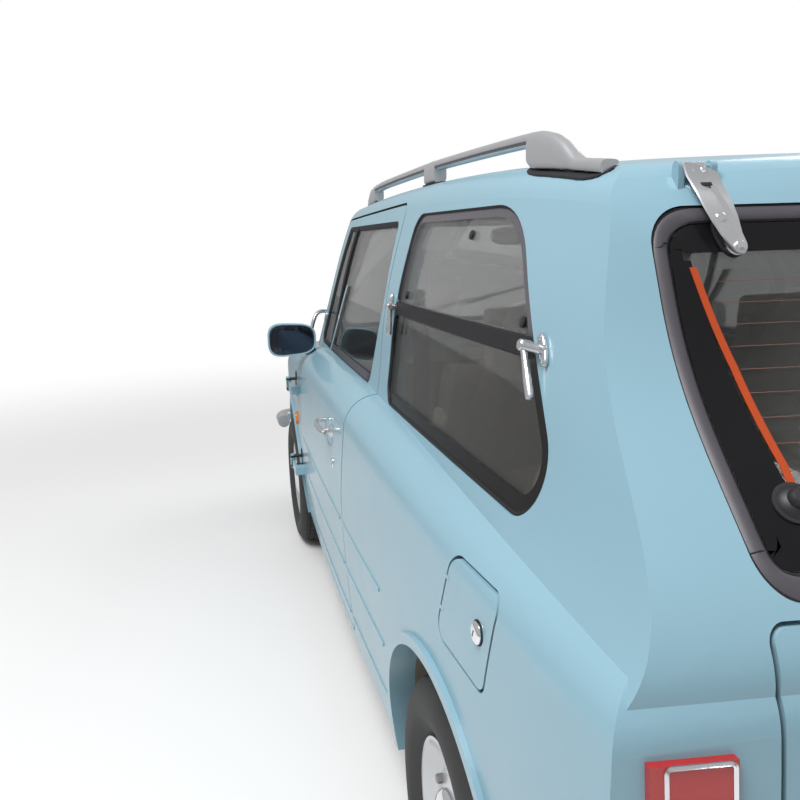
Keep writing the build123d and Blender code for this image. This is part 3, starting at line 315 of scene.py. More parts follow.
class Piece:
    """Closed shells of one look that become one object riding on a body."""

    def __init__(self, name, look, body="body", slot=None):
        self.name, self.look, self.body, self.slot = name, look, body, slot or SLOTS[look]
        self.bm = bmesh.new()

    def shell(self, rings, loop=False):
        """Skin through equal rings of points; an open run is capped at both ends."""
        rows = [[self.bm.verts.new(p) for p in ring] for ring in rings]
        pairs = list(zip(rows, rows[1:])) + ([(rows[-1], rows[0])] if loop else [])
        count = len(rows[0])
        for a, b in pairs:
            for i in range(count):
                j = (i + 1) % count
                self.bm.faces.new((a[i], a[j], b[j], b[i]))
        if not loop:
            self.bm.faces.new(rows[0][::-1])
            self.bm.faces.new(rows[-1])
        return self

    def lathe(self, origin, axis, profile, steps=28, stretch=1.0):
        """Profile of (radius, height) in mm about an axis; stretch makes it oval upwards."""
        origin, axis = Vector(origin), Vector(axis).normalized()
        side = axis.cross(Vector((0, 0, 1)))
        side = side.normalized() if side.length > 0.1 else Vector((1, 0, 0))
        top = side.cross(axis).normalized()
        rings = []
        for radius, height in profile:
            reach = max(radius, MIN_RADIUS)
            rings.append([origin + (axis * height + (side * c + top * s * stretch) * reach) * 0.001
                          for c, s in turn_steps(steps)])
        return self.shell(rings)

    def tube(self, path, radii, steps=12, flat=1.0):
        """Round or flattened bar along a smooth path, with radii in mm spread evenly over it."""
        points = smooth(path)
        rings = []
        side = (points[1] - points[0]).normalized().orthogonal().normalized()
        last = len(points) - 1
        for i, p in enumerate(points):
            ahead = (points[min(i + 1, last)] - points[max(i - 1, 0)]).normalized()
            side = (side - ahead * side.dot(ahead)).normalized()
            lift = ahead.cross(side)
            where = i / last * (len(radii) - 1)
            low = min(int(where), len(radii) - 2)
            r = (radii[low] + (radii[low + 1] - radii[low]) * (where - low)) * 0.001
            rings.append([p + side * (r * flat * c) + lift * (r * s) for c, s in turn_steps(steps)])
        return self.shell(rings)

    def pad(self, centre, out, along, size, corner=0.3, edge=2.0, steps=40):
        """Rounded plate on a point: size (length, height, thickness) in mm, with a soft edge."""
        out, along = Vector(out).normalized(), Vector(along)
        along = (along - out * along.dot(out)).normalized()
        up = out.cross(along)
        length, height, thick = size
        soft = ((edge, 0), (0, edge), (0, thick - edge), (edge * 0.4, thick - edge * 0.3), (edge, thick))
        rings = []
        for inset, lift in soft:
            rings.append([centre + (along * (rounded(c, corner) * (length / 2 - inset))
                                    + up * (rounded(s, corner) * (height / 2 - inset)) + out * lift) * 0.001
                          for c, s in turn_steps(steps)])
        return self.shell(rings)

    def band(self, surface, corners, profile, edge=0.0, step=14.0, passes=0, rim=None, keep=None):
        """Closed strip round an outline: profile of (inset, lift) in mm; passes even it, keep picks a run."""
        points = outline(list(corners), step)
        if rim:
            rings = [[bridge(p, n, rim, surface, *spot, edge) for spot in profile] for p, n in points]
        else:
            rings = [[surface.inset(p, n, *spot, edge) for spot in profile] for p, n in points]
        count = len(rings)
        for _ in range(passes):
            rings = [[(a + b * 2 + c) / 4 for a, b, c in zip(rings[i - 1], rings[i], rings[(i + 1) % count])]
                     for i in range(count)]
        if keep:
            kept = [keep(p) for p, _ in points]
            first = next(i for i in range(count) if kept[i] and not kept[i - 1])
            rings = [rings[(first + i) % count] for i in range(count) if kept[(first + i) % count]]
        return self.shell(rings, loop=not keep)

    def ribbon(self, surface, left, right, low, high, step=12.0):
        """Thin strip on a surface between two lines of (u, v) points in mm."""
        pairs = []
        for (a, b), (c, d) in zip(zip(left, left[1:]), zip(right, right[1:])):
            count = max(1, int((Vector(b) - Vector(a)).length // step))
            pairs += [(Vector(a).lerp(Vector(b), k / count), Vector(c).lerp(Vector(d), k / count))
                      for k in range(count)]
        pairs.append((Vector(left[-1]), Vector(right[-1])))
        rings = []
        for p, q in pairs:
            (a, out_a), (b, out_b) = surface.at(*p), surface.at(*q)
            rings.append([a + out_a * (low * 0.001), b + out_b * (low * 0.001),
                          b + out_b * (high * 0.001), a + out_a * (high * 0.001)])
        return self.shell(rings)

    def bolt(self, place, out, radius, height, steps=20):
        """Domed screw head."""
        dome = [(0.2, -1.5), (radius, -1.5), (radius, height * 0.3), (radius * 0.86, height * 0.72),
                (radius * 0.5, height * 0.95), (0.2, height)]
        return self.lathe(place, out, dome, steps=steps)

    def done(self, both_sides=False, twin=False, angle=38):
        """The finished object, with its mirror image inside it or as a twin on the right."""
        bmesh.ops.remove_doubles(self.bm, verts=self.bm.verts, dist=1e-7)
        bmesh.ops.recalc_face_normals(self.bm, faces=self.bm.faces)
        if both_sides:
            self.add_mirror()
        mesh = bpy.data.meshes.new(self.name)
        self.bm.to_mesh(mesh)
        self.bm.free()
        made = [finish_object(self.name, mesh, self.look, self.body, angle)]
        if twin:
            name, body = self.name.replace("left", "right"), self.body.replace("left", "right")
            made.append(finish_object(name, mirrored(mesh, name), self.look, body, angle))
        return made

    def add_mirror(self):
        """The same shells on the other side of the car, in the same object."""
        everything = list(self.bm.verts) + list(self.bm.edges) + list(self.bm.faces)
        for v in bmesh.ops.duplicate(self.bm, geom=everything)["geom"]:
            if isinstance(v, bmesh.types.BMVert):
                v.co.x = -v.co.x
        bmesh.ops.recalc_face_normals(self.bm, faces=self.bm.faces)


def mirrored(mesh, name):
    other = bmesh.new()
    other.from_mesh(mesh)
    for v in other.verts:
        v.co.x = -v.co.x
    bmesh.ops.reverse_faces(other, faces=other.faces)
    made = bpy.data.meshes.new(name)
    other.to_mesh(made)
    other.free()
    return made


def finish_object(name, mesh, look, body, angle):
    for p in mesh.polygons:
        p.use_smooth = True
    mesh.set_sharp_from_angle(angle=math.radians(angle))
    mesh.materials.append(look)
    obj = bpy.data.objects.new(name, mesh)
    scene.collection.objects.link(obj)
    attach(obj, body)
    return obj


def smooth(points, per=5):
    """Catmull-Rom curve through points."""
    if len(points) < 3:
        return [Vector(p) for p in points]
    p = [Vector(points[0]) * 2 - Vector(points[1])] + [Vector(q) for q in points]
    p.append(p[-1] * 2 - p[-2])
    curve = []
    for i in range(1, len(p) - 2):
        for k in range(per):
            t = k / per
            curve.append(0.5 * (p[i] * 2 + (p[i + 1] - p[i - 1]) * t
                                + (p[i - 1] * 2 - p[i] * 5 + p[i + 1] * 4 - p[i + 2]) * t * t
                                + (p[i] * 3 - p[i - 1] - p[i + 1] * 3 + p[i + 2]) * t ** 3))
    curve.append(p[-2])
    return curve


ARC_STEP = 0.22


def corner_arc(before, here, after):
    """Points and inward normals round one (u, v, radius) corner of an outline."""
    tip = Vector(here[:2])
    back = (tip - Vector(before[:2])).normalized()
    ahead = (Vector(after[:2]) - tip).normalized()
    turn = math.atan2(back.x * ahead.y - back.y * ahead.x, back.dot(ahead))
    radius, hand = max(here[2], 1.0), math.copysign(1, turn)
    inward = Vector((-back.y, back.x)) * hand
    centre = tip - back * (radius * math.tan(abs(turn) / 2)) + inward * radius
    pieces = max(2, math.ceil(abs(turn) / ARC_STEP))
    arc = []
    for k in range(pieces + 1):
        spoke = Matrix.Rotation(turn * k / pieces, 2) @ -inward
        arc.append((centre + spoke * radius, -spoke * hand))
    return arc


def outline(corners, step=14.0):
    """Points and inward normals round a closed outline of (u, v, radius) corners, in mm."""
    area = sum(a[0] * b[1] - b[0] * a[1] for a, b in zip(corners, corners[1:] + corners[:1]))
    corners = corners if area > 0 else corners[::-1]
    count = len(corners)
    runs = [corner_arc(corners[i - 1], corners[i], corners[(i + 1) % count]) for i in range(count)]
    ring = []
    for i, arc in enumerate(runs):
        ring += arc
        last, normal = arc[-1]
        first = runs[(i + 1) % count][0][0]
        pieces = int((first - last).length // step)
        ring += [(last.lerp(first, k / (pieces + 1)), normal) for k in range(1, pieces + 1)]
    return ring


# Each view's ray out of the car and the axes of its (u, v)
RAYS = {"side": ((1, 0, 0), 1, 2), "rear": ((0, 1, 0), 0, 2), "front": ((0, -1, 0), 0, 2),
        "top": ((0, 0, 1), 0, 1)}
RAY_START, BASELINE = 3.0, 22


class Surface:
    """Outer skin of some CAD nodes, met by rays along one axis."""

    def __init__(self, names, view="side"):
        verts, polys = [], []
        for name in names:
            mesh = nodes[name].data
            base = len(verts)
            verts += [v.co.copy() for v in mesh.vertices]
            polys += [[base + i for i in p.vertices] for p in mesh.polygons]
        self.tree = BVHTree.FromPolygons(verts, polys)
        self.ray, self.u, self.v = Vector(RAYS[view][0]), RAYS[view][1], RAYS[view][2]
        self.depth = 0.0

    def point(self, u, v, depth):
        start = self.ray * depth
        start[self.u], start[self.v] = u * 0.001, v * 0.001
        return start

    def at(self, u, v):
        """Place and outward normal at (u, v) in mm; off the skin, its nearest point."""
        place, normal, _, _ = self.tree.ray_cast(self.point(u, v, RAY_START), -self.ray)
        if place is None:
            place, normal, _, _ = self.tree.find_nearest(self.point(u, v, self.depth))
        self.depth = place.dot(self.ray)
        return place, normal if normal.dot(self.ray) > 0 else -normal

    def inset(self, p, n, inset, lift, edge):
        """A point shifted in from an outline; nearer than edge it carries on from the surface inside."""
        wide, high = inset if isinstance(inset, tuple) else (inset, inset)
        if min(wide, high) >= edge:
            q, out = self.at(p.x + n.x * wide, p.y + n.y * high)
            return q + out * (lift * 0.001)
        a, out = self.at(p.x + n.x * edge, p.y + n.y * edge)
        b, _ = self.at(p.x + n.x * (edge + BASELINE), p.y + n.y * (edge + BASELINE))
        return a + (a - b) * ((edge - wide) / BASELINE) + out * (lift * 0.001)


RIM_OUT, RIM_DROP = 2, 4.5


def bridge(p, n, rim, inner, inset, lift, edge):
    """A point on the way from the body's edge, just outside an outline, to the glass at the edge inset."""
    a, out_a = rim.at(p.x - n.x * RIM_OUT, p.y - n.y * RIM_OUT)
    b, out_b = inner.at(p.x + n.x * edge, p.y + n.y * edge)
    share = (inset + RIM_OUT) / (edge + RIM_OUT)
    a = a - out_a * (RIM_DROP * 0.001)
    return a.lerp(b, share) + out_a.lerp(out_b, share) * (lift * 0.001)


# Outlines in mm, as the CAD has them: (y, z, radius) at the side, (x, z, radius) at the rear
HATCH = [(-536, 926, 42), (536, 926, 42), (522, 1339, 55), (-522, 1339, 55)]
SCREEN = [(-612, 962, 60), (612, 962, 60), (525, 1347, 60), (-525, 1347, 60)]
DOOR_WINDOW = [(-628, 938, 25), (300, 936, 40), (388, 1150, 150), (366, 1342, 25), (-282, 1334, 35)]
UPPER_PANE = [(502, 1137, 6), (1272, 1137, 6), (1092, 1357, 220), (512, 1354, 50)]
LOWER_PANE = [(494, 928, 45), (1459, 912, 77), (1256, 1157, 6), (503, 1157, 6)]
SIDE_WINDOW = [(494, 928, 45), (1459, 912, 77), (1092, 1357, 220), (512, 1354, 50)]
FRONT_AXLE, REAR_AXLE = -1170, 1130
TRACKS = {"front": 1365, "rear": 1355}
SIDES = (1, -1)
DOOR = "door_left_assembly"

side_glass = Surface(["side_glass"])
side_skin = Surface(["side_panel_left", "side_glass", "side_window_bars"])
door_skin = Surface(["door_left"])
door_glass = Surface(["door_glass_left"])
flap_skin = Surface(["fuel_flap"])
hatch_glass = Surface(["hatch_glass"], "rear")
strap_skin = Surface(["hatch_straps"], "rear")
screen_glass = Surface(["windscreen"], "front")
roof_skin = Surface(["roof_panel", "side_panel_left"], "top")

# Hatch seal: cut as (inset, lift); its run on the sill rides on the tailgate
STRIP = [(0.2, -7), (0.0, 0.6), (4, 3.0), (9, 4.6), (15, 5.0), (20, 3.4), (22.4, 0.4), (22.4, -7)]
OUTER_LIP = [(-1.0, -2.0), (-1.0, 1.6), (0.4, 2.6), (2.4, 2.4), (2.4, -2.0)]
INNER_LIP = [(20.8, -1.0), (20.8, 3.2), (22.6, 2.4), (23.4, 1.0), (23.4, -1.0)]
SEAL_JOINT = [(0.8, 2.0), (9, 4.8), (15, 5.2), (22.6, 0.8)]
JOINT_HEIGHTS, JOINT_STEP, JOINT_NEAR = (1297, 968), 3.0, 2.5
SILL_HALF, SILL_TOP, SILL_LAP = 470, 940, 9
SEAL_EDGE, SEAL_STEP, SEAL_PASSES = 27, 8, 3
SEALS = (("hatch_weatherstrip", seal_grey, [STRIP]), ("hatch_seal_lip", rubber, [OUTER_LIP, INNER_LIP]))


def on_body(p):
    return p.y > SILL_TOP or abs(p.x) > SILL_HALF


def on_tailgate(p):
    return p.y < SILL_TOP and abs(p.x) < SILL_HALF + SILL_LAP


def hatch_seal():
    rim = Surface(["roof_panel", "side_panel_left", "side_panel_right", "tailgate", "rear_panel"], "rear")
    for suffix, body, keep in (("", "body", on_body), ("_sill", "tailgate_lid", on_tailgate)):
        for name, look, cuts in SEALS:
            seal = Piece(name + suffix, look, body)
            for cut in cuts:
                seal.band(hatch_glass, HATCH, cut, edge=SEAL_EDGE, step=SEAL_STEP, passes=SEAL_PASSES,
                        rim=rim, keep=keep)
            seal.done()
    joints = Piece("hatch_seal_joints", plastic, "body", "black_rubber")
    for height in JOINT_HEIGHTS:
        p, n = next((p, n) for p, n in outline(HATCH, JOINT_STEP)
                    if p.x > 0 and abs(p.y - height) < JOINT_NEAR)
        joints.tube([bridge(p, n, rim, hatch_glass, *spot, SEAL_EDGE) for spot in SEAL_JOINT], [0.8, 0.8],
                steps=8)
    joints.done(both_sides=True)


# Print on the hatch glass: lines of (x, z) points for the left side
FRIT_EDGE, FRIT_WIDTH = 24.6, (41, 60)
FRIT_OUTER, FRIT_INNER = [(496, 1270), (500, 985)], [(474, 1270), (450, 985)]
TERMINAL_OUTER = [(478, 1261), (459, 1140), (451, 1040), (455, 1000)]
TERMINAL_INNER = [(469, 1261), (449, 1140), (441, 1040), (445, 1000)]
HEATER_LINES, HEATER_TOP, HEATER_GAP, HEATER_HALF, HEATER_REACH = 10, 1243, 26, 0.4, 446
KNOB_X, KNOB_Z = 455, 1006
KNOB = [(0.2, -0.4), (21, -0.4), (22, 2), (19, 8), (13, 11), (12, 17), (9, 20), (0.2, 21)]
KNOB_RING = [(24, -0.2), (26.5, 0.8), (26, 3.2), (23.6, 3.4)]


def on_side(side, points):
    return [(side * x, z) for x, z in points]


def hatch_print():
    frit = Piece("hatch_border", frit_black, "hatch")
    frit.band(hatch_glass, HATCH, rectangle(FRIT_EDGE, FRIT_WIDTH, 0.15, 0.75), edge=FRIT_EDGE)
    frit.ribbon(hatch_glass, FRIT_OUTER, FRIT_INNER, 0.10, 0.55)
    frit.ribbon(hatch_glass, on_side(-1, FRIT_INNER), on_side(-1, FRIT_OUTER), 0.10, 0.55)
    frit.done()
    strip = Piece("hatch_heater_terminals", orange, "hatch")
    for side in SIDES:
        strip.ribbon(hatch_glass, on_side(side, TERMINAL_OUTER), on_side(side, TERMINAL_INNER), 0.5, 1.6)
    strip.done()
    lines = Piece("hatch_heater_lines", heater_brown, "hatch")
    for k in range(HEATER_LINES):
        top, low = [[(x, HEATER_TOP - HEATER_GAP * k + half) for x in (-HEATER_REACH, HEATER_REACH)]
                for half in (HEATER_HALF, -HEATER_HALF)]
        lines.ribbon(hatch_glass, top, low, 0.1, 0.3, step=30)
    lines.done()
    knob = Piece("hatch_knob", plastic, "hatch")
    for side in SIDES:
        place, out = hatch_glass.at(side * KNOB_X, KNOB_Z)
        knob.lathe(place, out, KNOB)
        knob.lathe(place, out, KNOB_RING, steps=36)
    knob.done()


# Hatch straps: screws as (x, z, radius), leaf as (x, z, half width, shift)
STRAP_SCREWS = ((433, 1322, 7.5), (417, 1287, 7.0), (449, 1384, 6.5), (432, 1384, 6.5))
STRAP_LEAF = ((444, 1391, 24, -7), (443, 1389, 27.5, -7), (439, 1372, 29, -8), (435, 1350, 28, -6),
    (431, 1330, 26, -3), (427, 1312, 22, -1), (423, 1297, 17.5, 0), (420, 1287, 13.5, 0), (418, 1280, 9, 0),
    (417.3, 1277, 4, 0))
LEAF_THICK, LEAF_TAPER = 0.0022, 0.93
STRAP_SLOT_TOP, STRAP_SLOT_LOW = [(428, 1366), (446, 1366)], [(428, 1362), (446, 1362)]
STRAP_PAD = (421, 1298)


def hatch_straps():
    screws = Piece("hatch_strap_screws", chrome, "hatch")
    for side in SIDES:
        for x, z, radius in STRAP_SCREWS:
            screws.bolt(*strap_skin.at(side * x, z), radius, 6.4)
    screws.done()
    faces = Piece("hatch_strap_faces", silver, "hatch", "bright_metal")
    for side in SIDES:
        across = Vector((0.97, 0.02, 0.22 * side)).normalized()
        rings = []
        for x, z, half, shift in STRAP_LEAF:
            place, out = strap_skin.at(side * x, z)
            place = place + across * (side * shift * 0.001)
            foot, top, lift = across * (half * 0.001), across * (half * LEAF_TAPER * 0.001), out * LEAF_THICK
            rings.append([place - foot, place + foot, place + top + lift, place - top + lift])
        faces.shell(rings)
    faces.done(angle=30)
    slot = Piece("hatch_strap_slots", rubber, "hatch")
    for side in SIDES:
        slot.ribbon(strap_skin, on_side(side, STRAP_SLOT_TOP), on_side(side, STRAP_SLOT_LOW), 2.0, 3.2,
                step=5)
    slot.done()
    pads = Piece("hatch_strap_pads", rubber, "hatch")
    for side in SIDES:
        place, out = hatch_glass.at(side * STRAP_PAD[0], STRAP_PAD[1])
        pads.pad(place, out, (0.25 * side, 0, 1), (62, 34, 5.5), corner=0.85, edge=1.5)
    pads.done()


# Side windows: printed borders, gasket, buttons, latch, hinge and lever brackets
PRINT_EDGE = 0.6
PRINTS = (("upper", UPPER_PANE, 20, frit_grey), ("lower", LOWER_PANE, 28, frit_black))
GASKET = [(0.4, -1), (0.4, 4.6), (2.4, 4.8), (4.6, 2.6), (5.4, 0.6), (5.4, -1)]
BUTTON = [(0.2, -6), (8.5, -6), (9, 0.5), (8.5, 2.6), (6, 3.6), (0.2, 3.8)]
BUTTONS = ((887, 1307), (1195, 1178), (560, 1178))
LATCH = (850, 962)
BRACKET_BOSS = [(0.2, -15), (7, -15), (8.6, -8), (8.6, 5), (7, 7), (0.2, 7.4)]
BRACKET_SCREW = 19


def bracket(name, plate, arm_end, lever_end, tilt):
    """Cast hinge plate on the pillar, arm over the glass and its hanging lever."""
    piece = Piece(name, cast_silver)
    place, out = side_skin.at(*plate)
    piece.pad(place, out, tilt, (54, 17, 7.5), corner=0.75, edge=2.5)
    for sign in (-BRACKET_SCREW, BRACKET_SCREW):
        piece.bolt(place + Vector(tilt).normalized() * (sign * 0.001) + out * 0.006, out, 4.6, 3)
    glass_place, glass_out = side_skin.at(*arm_end)
    tip = glass_place + glass_out * 0.016
    piece.tube([place + out * 0.004, place + out * 0.010, tip], [8.5, 7.2, 6.6], steps=16)
    piece.lathe(tip, glass_out, BRACKET_BOSS)
    low_place, low_out = side_skin.at(*lever_end)
    low = low_place + low_out * 0.017
    piece.tube([tip, tip.lerp(low, 0.3), tip.lerp(low, 0.7), low, low + (low - tip).normalized() * 0.004],
            [5.4, 5.2, 6.8, 6.6, 3.0], steps=16, flat=0.75)
    piece.done(both_sides=True)


def side_windows():
    for name, pane, width, look in PRINTS:
        border = Piece(f"side_window_border_{name}", look)
        border.band(side_glass, pane, rectangle(PRINT_EDGE, width, 0.15, 0.5), edge=PRINT_EDGE)
        border.done(both_sides=True)
    Piece("side_window_gasket", rubber).band(side_glass, SIDE_WINDOW, GASKET, edge=3).done(both_sides=True)
    buttons = Piece("side_window_buttons", plastic)
    for y, z in BUTTONS:
        buttons.lathe(*side_glass.at(y, z), BUTTON, steps=22)
    buttons.done(both_sides=True)
    tab = Piece("side_window_latch", trim_light)
    place, out = side_glass.at(*LATCH)
    tab.pad(place - out * 0.019, out, (0, 1, 0), (26, 44, 12), corner=0.35, edge=2.5)
    tab.pad(place - out * 0.026, out, (0, 1, 0), (40, 26, 8), corner=0.3, edge=2)
    tab.done(both_sides=True)
    bracket("side_window_bracket_rear", (1298, 1149), (1258, 1149), (1300, 1082), (0.11, 0.62, -0.78))
    bracket("side_window_bracket_front", (470, 1149), (512, 1148), (516, 1088), (0.15, -0.02, -0.98))


# Door windows: rubber channel with the divider, belt strip, latch
DOOR_CHANNEL = [(0.6, -1), (0.6, 4.4), (4, 4.8), (12, 2.6), (15, 0.8), (15, -1)]
DIVIDER_FRONT, DIVIDER_REAR = [(-176, 1334), (-407, 940)], [(-144, 1334), (-373, 940)]
BELT_TOP, BELT_LOW = [(-380, 962), (296, 960)], [(-380, 942), (296, 940)]
LATCH_RISE = (0, 0.5, 0.86)


def door_windows():
    channel = Piece("door_window_channel_left", rubber, DOOR)
    channel.band(door_glass, DOOR_WINDOW, DOOR_CHANNEL, edge=4)
    channel.ribbon(door_glass, DIVIDER_FRONT, DIVIDER_REAR, -3.0, 5.2, step=30)
    channel.done(twin=True)
    belt = Piece("door_belt_strip_left", seal_grey, DOOR)
    belt.ribbon(door_glass, BELT_TOP, BELT_LOW, 3.0, 6.2, step=20)
    belt.done(twin=True)
    latch = Piece("quarter_light_latch_left", chrome, DOOR)
    place, out = door_skin.at(-262, 1128)
    latch.pad(place + out * 0.002, out, LATCH_RISE, (58, 13, 4), corner=0.4, edge=1.5)
    latch.tube([place + out * 0.004, place + out * 0.016, place + out * 0.02 + mm(0, 16, -22)],
            [4.5, 4, 3.2], steps=12)
    latch.done(twin=True)


# Door handle: oval dish with a lever and a key lock
DISH = [(52, -0.6), (54, 1.6), (57.5, 2.4), (61, 1.4), (62.5, -0.6)]
LEVER = [(797, 112, 812), (806, 128, 814), (812, 175, 812), (807, 226, 806), (799, 240, 804)]
LEVER_BOSS = [(0.2, 0), (14, 0), (15.5, 2.5), (13, 7), (8.5, 12), (8, 26), (0.2, 27)]
LEVER_POST = [(0.2, 0), (6, 0), (6, 24), (0.2, 25)]
DOOR_LOCK = [(0.2, -1), (10, -1), (10, 1.6), (8.4, 3.4), (6.6, 3.6), (6.2, 2.8), (0.2, 2.8)]


def door_handles():
    dish = Piece("door_handle_dish_left", paint, DOOR)
    dish.lathe(*door_skin.at(175, 790), DISH, steps=48, stretch=0.62)
    dish.done(twin=True)
    lever = Piece("door_lever_left", cast_silver, DOOR)
    lever.tube([mm(*p) for p in LEVER], [5, 6.5, 8, 8, 6], steps=18, flat=0.62)
    lever.lathe(mm(776, 226, 803), (1, 0, 0), LEVER_BOSS, stretch=1.3)
    lever.lathe(mm(778, 122, 813), (1, 0, 0), LEVER_POST)
    levers = lever.done(twin=True)
    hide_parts("door_handle_left")
    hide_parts("door_handle_right")
    place, out = door_skin.at(226, 716)
    Piece("door_lock_left", chrome, DOOR).lathe(place, out, DOOR_LOCK, stretch=1.35).done(twin=True)
    key = Piece("door_keyway_left", rubber, DOOR)
    key.pad(place + out * 0.0026, out, (0, 0, 1), (7, 1.6, 0.5), corner=0.3, edge=0.1)
    key.done(twin=True)


# Fuel flap: lock, and skin over the notches that its lugs sit in
FUEL_RING = [(0.2, -1), (18.4, -1), (18.4, 1.0), (17, 1.8), (0.2, 1.9)]
FUEL_LOCK = [(0.2, 1.6), (16.2, 1.6), (16.4, 3.4), (15, 5.6), (11, 7.2), (6, 7.9), (0.2, 8.1)]
NOTCHES = ((722, 756), (782, 816))
FLAP_FRONT, FLAP_LEAN, FLAP_FOOT = 1179.2, 0.41, 684
COVER_NEAR, COVER_FAR, COVER_CARRY, COVER_STEPS = 44, 54, 4.38, 6


def fuel_flap():
    place, out = flap_skin.at(1357.6, 771)
    Piece("fuel_lock_ring", rubber, "flap").lathe(place, out, FUEL_RING, steps=40).done()
    Piece("fuel_lock", chrome, "flap").lathe(place, out, FUEL_LOCK, steps=40).done()
    key = Piece("fuel_keyway", rubber, "flap")
    key.pad(place + out * 0.0076, out, (0, 0.4, 1), (11, 2.2, 0.8), corner=0.3, edge=0.2)
    key.done()
    covers = Piece("fuel_flap_hinge_covers", paint, "flap")
    for low, high in NOTCHES:
        rings = []
        for k in range(COVER_STEPS + 1):
            z = low + (high - low) * k / COVER_STEPS
            edge = FLAP_FRONT + FLAP_LEAN * (z - FLAP_FOOT)
            near, out = flap_skin.at(edge + COVER_NEAR, z)
            far, _ = flap_skin.at(edge + COVER_FAR, z)
            front = near + (near - far) * COVER_CARRY
            rings.append([near + out * 0.0001, front + out * 0.0001, front - out * 0.0012,
                    near - out * 0.0012])
        covers.shell(rings)
    covers.done()


# Roof rails: round bars with a middle support and swept feet on rubber; the top as (y, z)
RAIL_X, RAIL_BAR = 528, 11.5
RAIL_TOP = [(-392, 1392), (-372, 1428), (-335, 1452), (-240, 1464), (60, 1472), (410, 1477), (760, 1476),
    (1005, 1472), (1060, 1469), (1110, 1459), (1150, 1443), (1185, 1422), (1215, 1404), (1250, 1394),
    (1292, 1385)]
BAR_STATIONS = (-330, -200, 0, 200, 410, 640, 860, 1000, 1060)
FEET, FOOT_STEPS = ((-391, -258), (1018, 1291)), 28
SUPPORT, SUPPORT_STEPS = (350, 444), 16
RAIL_PADS, PAD_STEPS, PAD_HALF = ((-400, -250), (342, 452), (1010, 1299)), 24, 21.5
CHANNELS, CHANNEL_STEPS, CHANNEL_DROP = ((-256, 348), (446, 1016)), 12, 16.5
CHANNEL_CUT = rectangle(-0.9, 0.9, -2.6, 2.6)


def rail_height(y):
    for (a, low), (b, high) in zip(RAIL_TOP, RAIL_TOP[1:]):
        if y <= b:
            return low + (high - low) * (y - a) / (b - a)
    return RAIL_TOP[-1][1]


def roof_height(y, x=RAIL_X):
    return roof_skin.at(x, y)[0].z * 1000


def spread(ends, steps):
    return [ends[0] + (ends[1] - ends[0]) * k / steps for k in range(steps + 1)]


def rail_section(y, low, high, steps=28):
    """Cut through a foot from low above the roof to a height: square shoulders, round on top."""
    tall = high - low - roof_height(y)
    half = 13.5 + 3.5 * min(1, max(0, (tall - 26) / 60))
    ring = []
    for c, s in turn_steps(steps):
        flare = 1 + (0.22 if s < 0 and tall > 26 else 0) * s * s
        x = RAIL_X + rounded(c, 0.75) * half * flare
        bottom = roof_height(y, x) + low
        ring.append(mm(x, y, (bottom + high) / 2 + rounded(s, 0.8 if s > 0 else 0.45) * (high - bottom) / 2))
    return ring


def roof_rails():
    bars = Piece("roof_rail_bars", silver)
    bars.tube([mm(RAIL_X, y, rail_height(y) - 12) for y in BAR_STATIONS], [RAIL_BAR, RAIL_BAR], steps=20,
            flat=1.1)
    for ends in FEET:
        inner_end = ends[1] if ends[0] < 0 else ends[0]
        rings = []
        for y in spread(ends, FOOT_STEPS):
            lift = max(0, 1 - abs(y - inner_end) / 26) ** 2 * 8.8
            rings.append(rail_section(y, 1.6 + lift, max(roof_height(y) + 15, rail_height(y) + 0.8)))
        bars.shell(rings)
    middle, half = sum(SUPPORT) / 2, (SUPPORT[1] - SUPPORT[0]) / 2
    bars.shell([rail_section(y, 1.6, rail_height(y) + 1.0 - 1.6 * abs(y - middle) / half)
            for y in spread(SUPPORT, SUPPORT_STEPS)])
    rails = bars.done(both_sides=True, angle=50)
    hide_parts("roof_rails")
    pads = Piece("roof_rail_pads", rubber)
    for ends in RAIL_PADS:
        middle, reach = sum(ends) / 2, (ends[1] - ends[0]) / 2
        rings = []
        for y in spread(ends, PAD_STEPS):
            half = PAD_HALF * min(1, math.sqrt(max(0.02, 1 - abs((y - middle) / reach) ** 6)))
            rings.append([])
            for x, lift in ((-half, -1), (half, -1), (half, 2), (half - 1.5, 3.2), (1.5 - half, 3.2),
                    (-half, 2)):
                spot, up = roof_skin.at(RAIL_X + x, y)
                rings[-1].append(spot + up * (lift * 0.001))
        pads.shell(rings)
    pads.done(both_sides=True)
    groove = Piece("roof_rail_channels", seal_grey)
    for ends in CHANNELS:
        for x in (515.2, 540.8):
            groove.shell([[mm(x + dx, y, rail_height(y) - CHANNEL_DROP + dz) for dx, dz in CHANNEL_CUT]
                          for y in spread(ends, CHANNEL_STEPS)])
    groove.done(both_sides=True)


# Door mirrors: sections of the housing as (y, half width, half height)
MIRROR_X, MIRROR_Z, MIRROR_SWELL = 799, 962, 0.10 / 85
HOUSING = ((-588, 18, 12), (-586, 42, 28), (-580, 60, 41), (-568, 72, 49), (-552, 79, 53), (-535, 82, 55),
    (-518, 83, 56), (-508, 82.5, 55.5), (-506, 81, 54), (-506.5, 78, 51.5), (-511, 76.5, 50), (-513, 75, 49))
MIRROR_RIM = ((-512.8, 75.6, 49.6), (-509.0, 75.4, 49.4), (-508.4, 73.6, 47.8), (-510.4, 71.8, 46.4),
    (-512.8, 71.8, 46.4))
MIRROR_GLASS = ((-512.8, 72.6, 47.2), (-511.2, 72.4, 47.0), (-510.8, 66, 42), (-510.5, 40, 24),
    (-510.4, 8, 5))
MIRROR_ARM = ((726, -546, 990), (716, -548, 1022), (703, -556, 1043), (684, -570, 1050), (662, -584, 1046),
    (650, -592, 1040))
MIRROR_FOOT = ((730, -548, 925), (722, -556, 908), (706, -578, 900), (694, -596, 902))


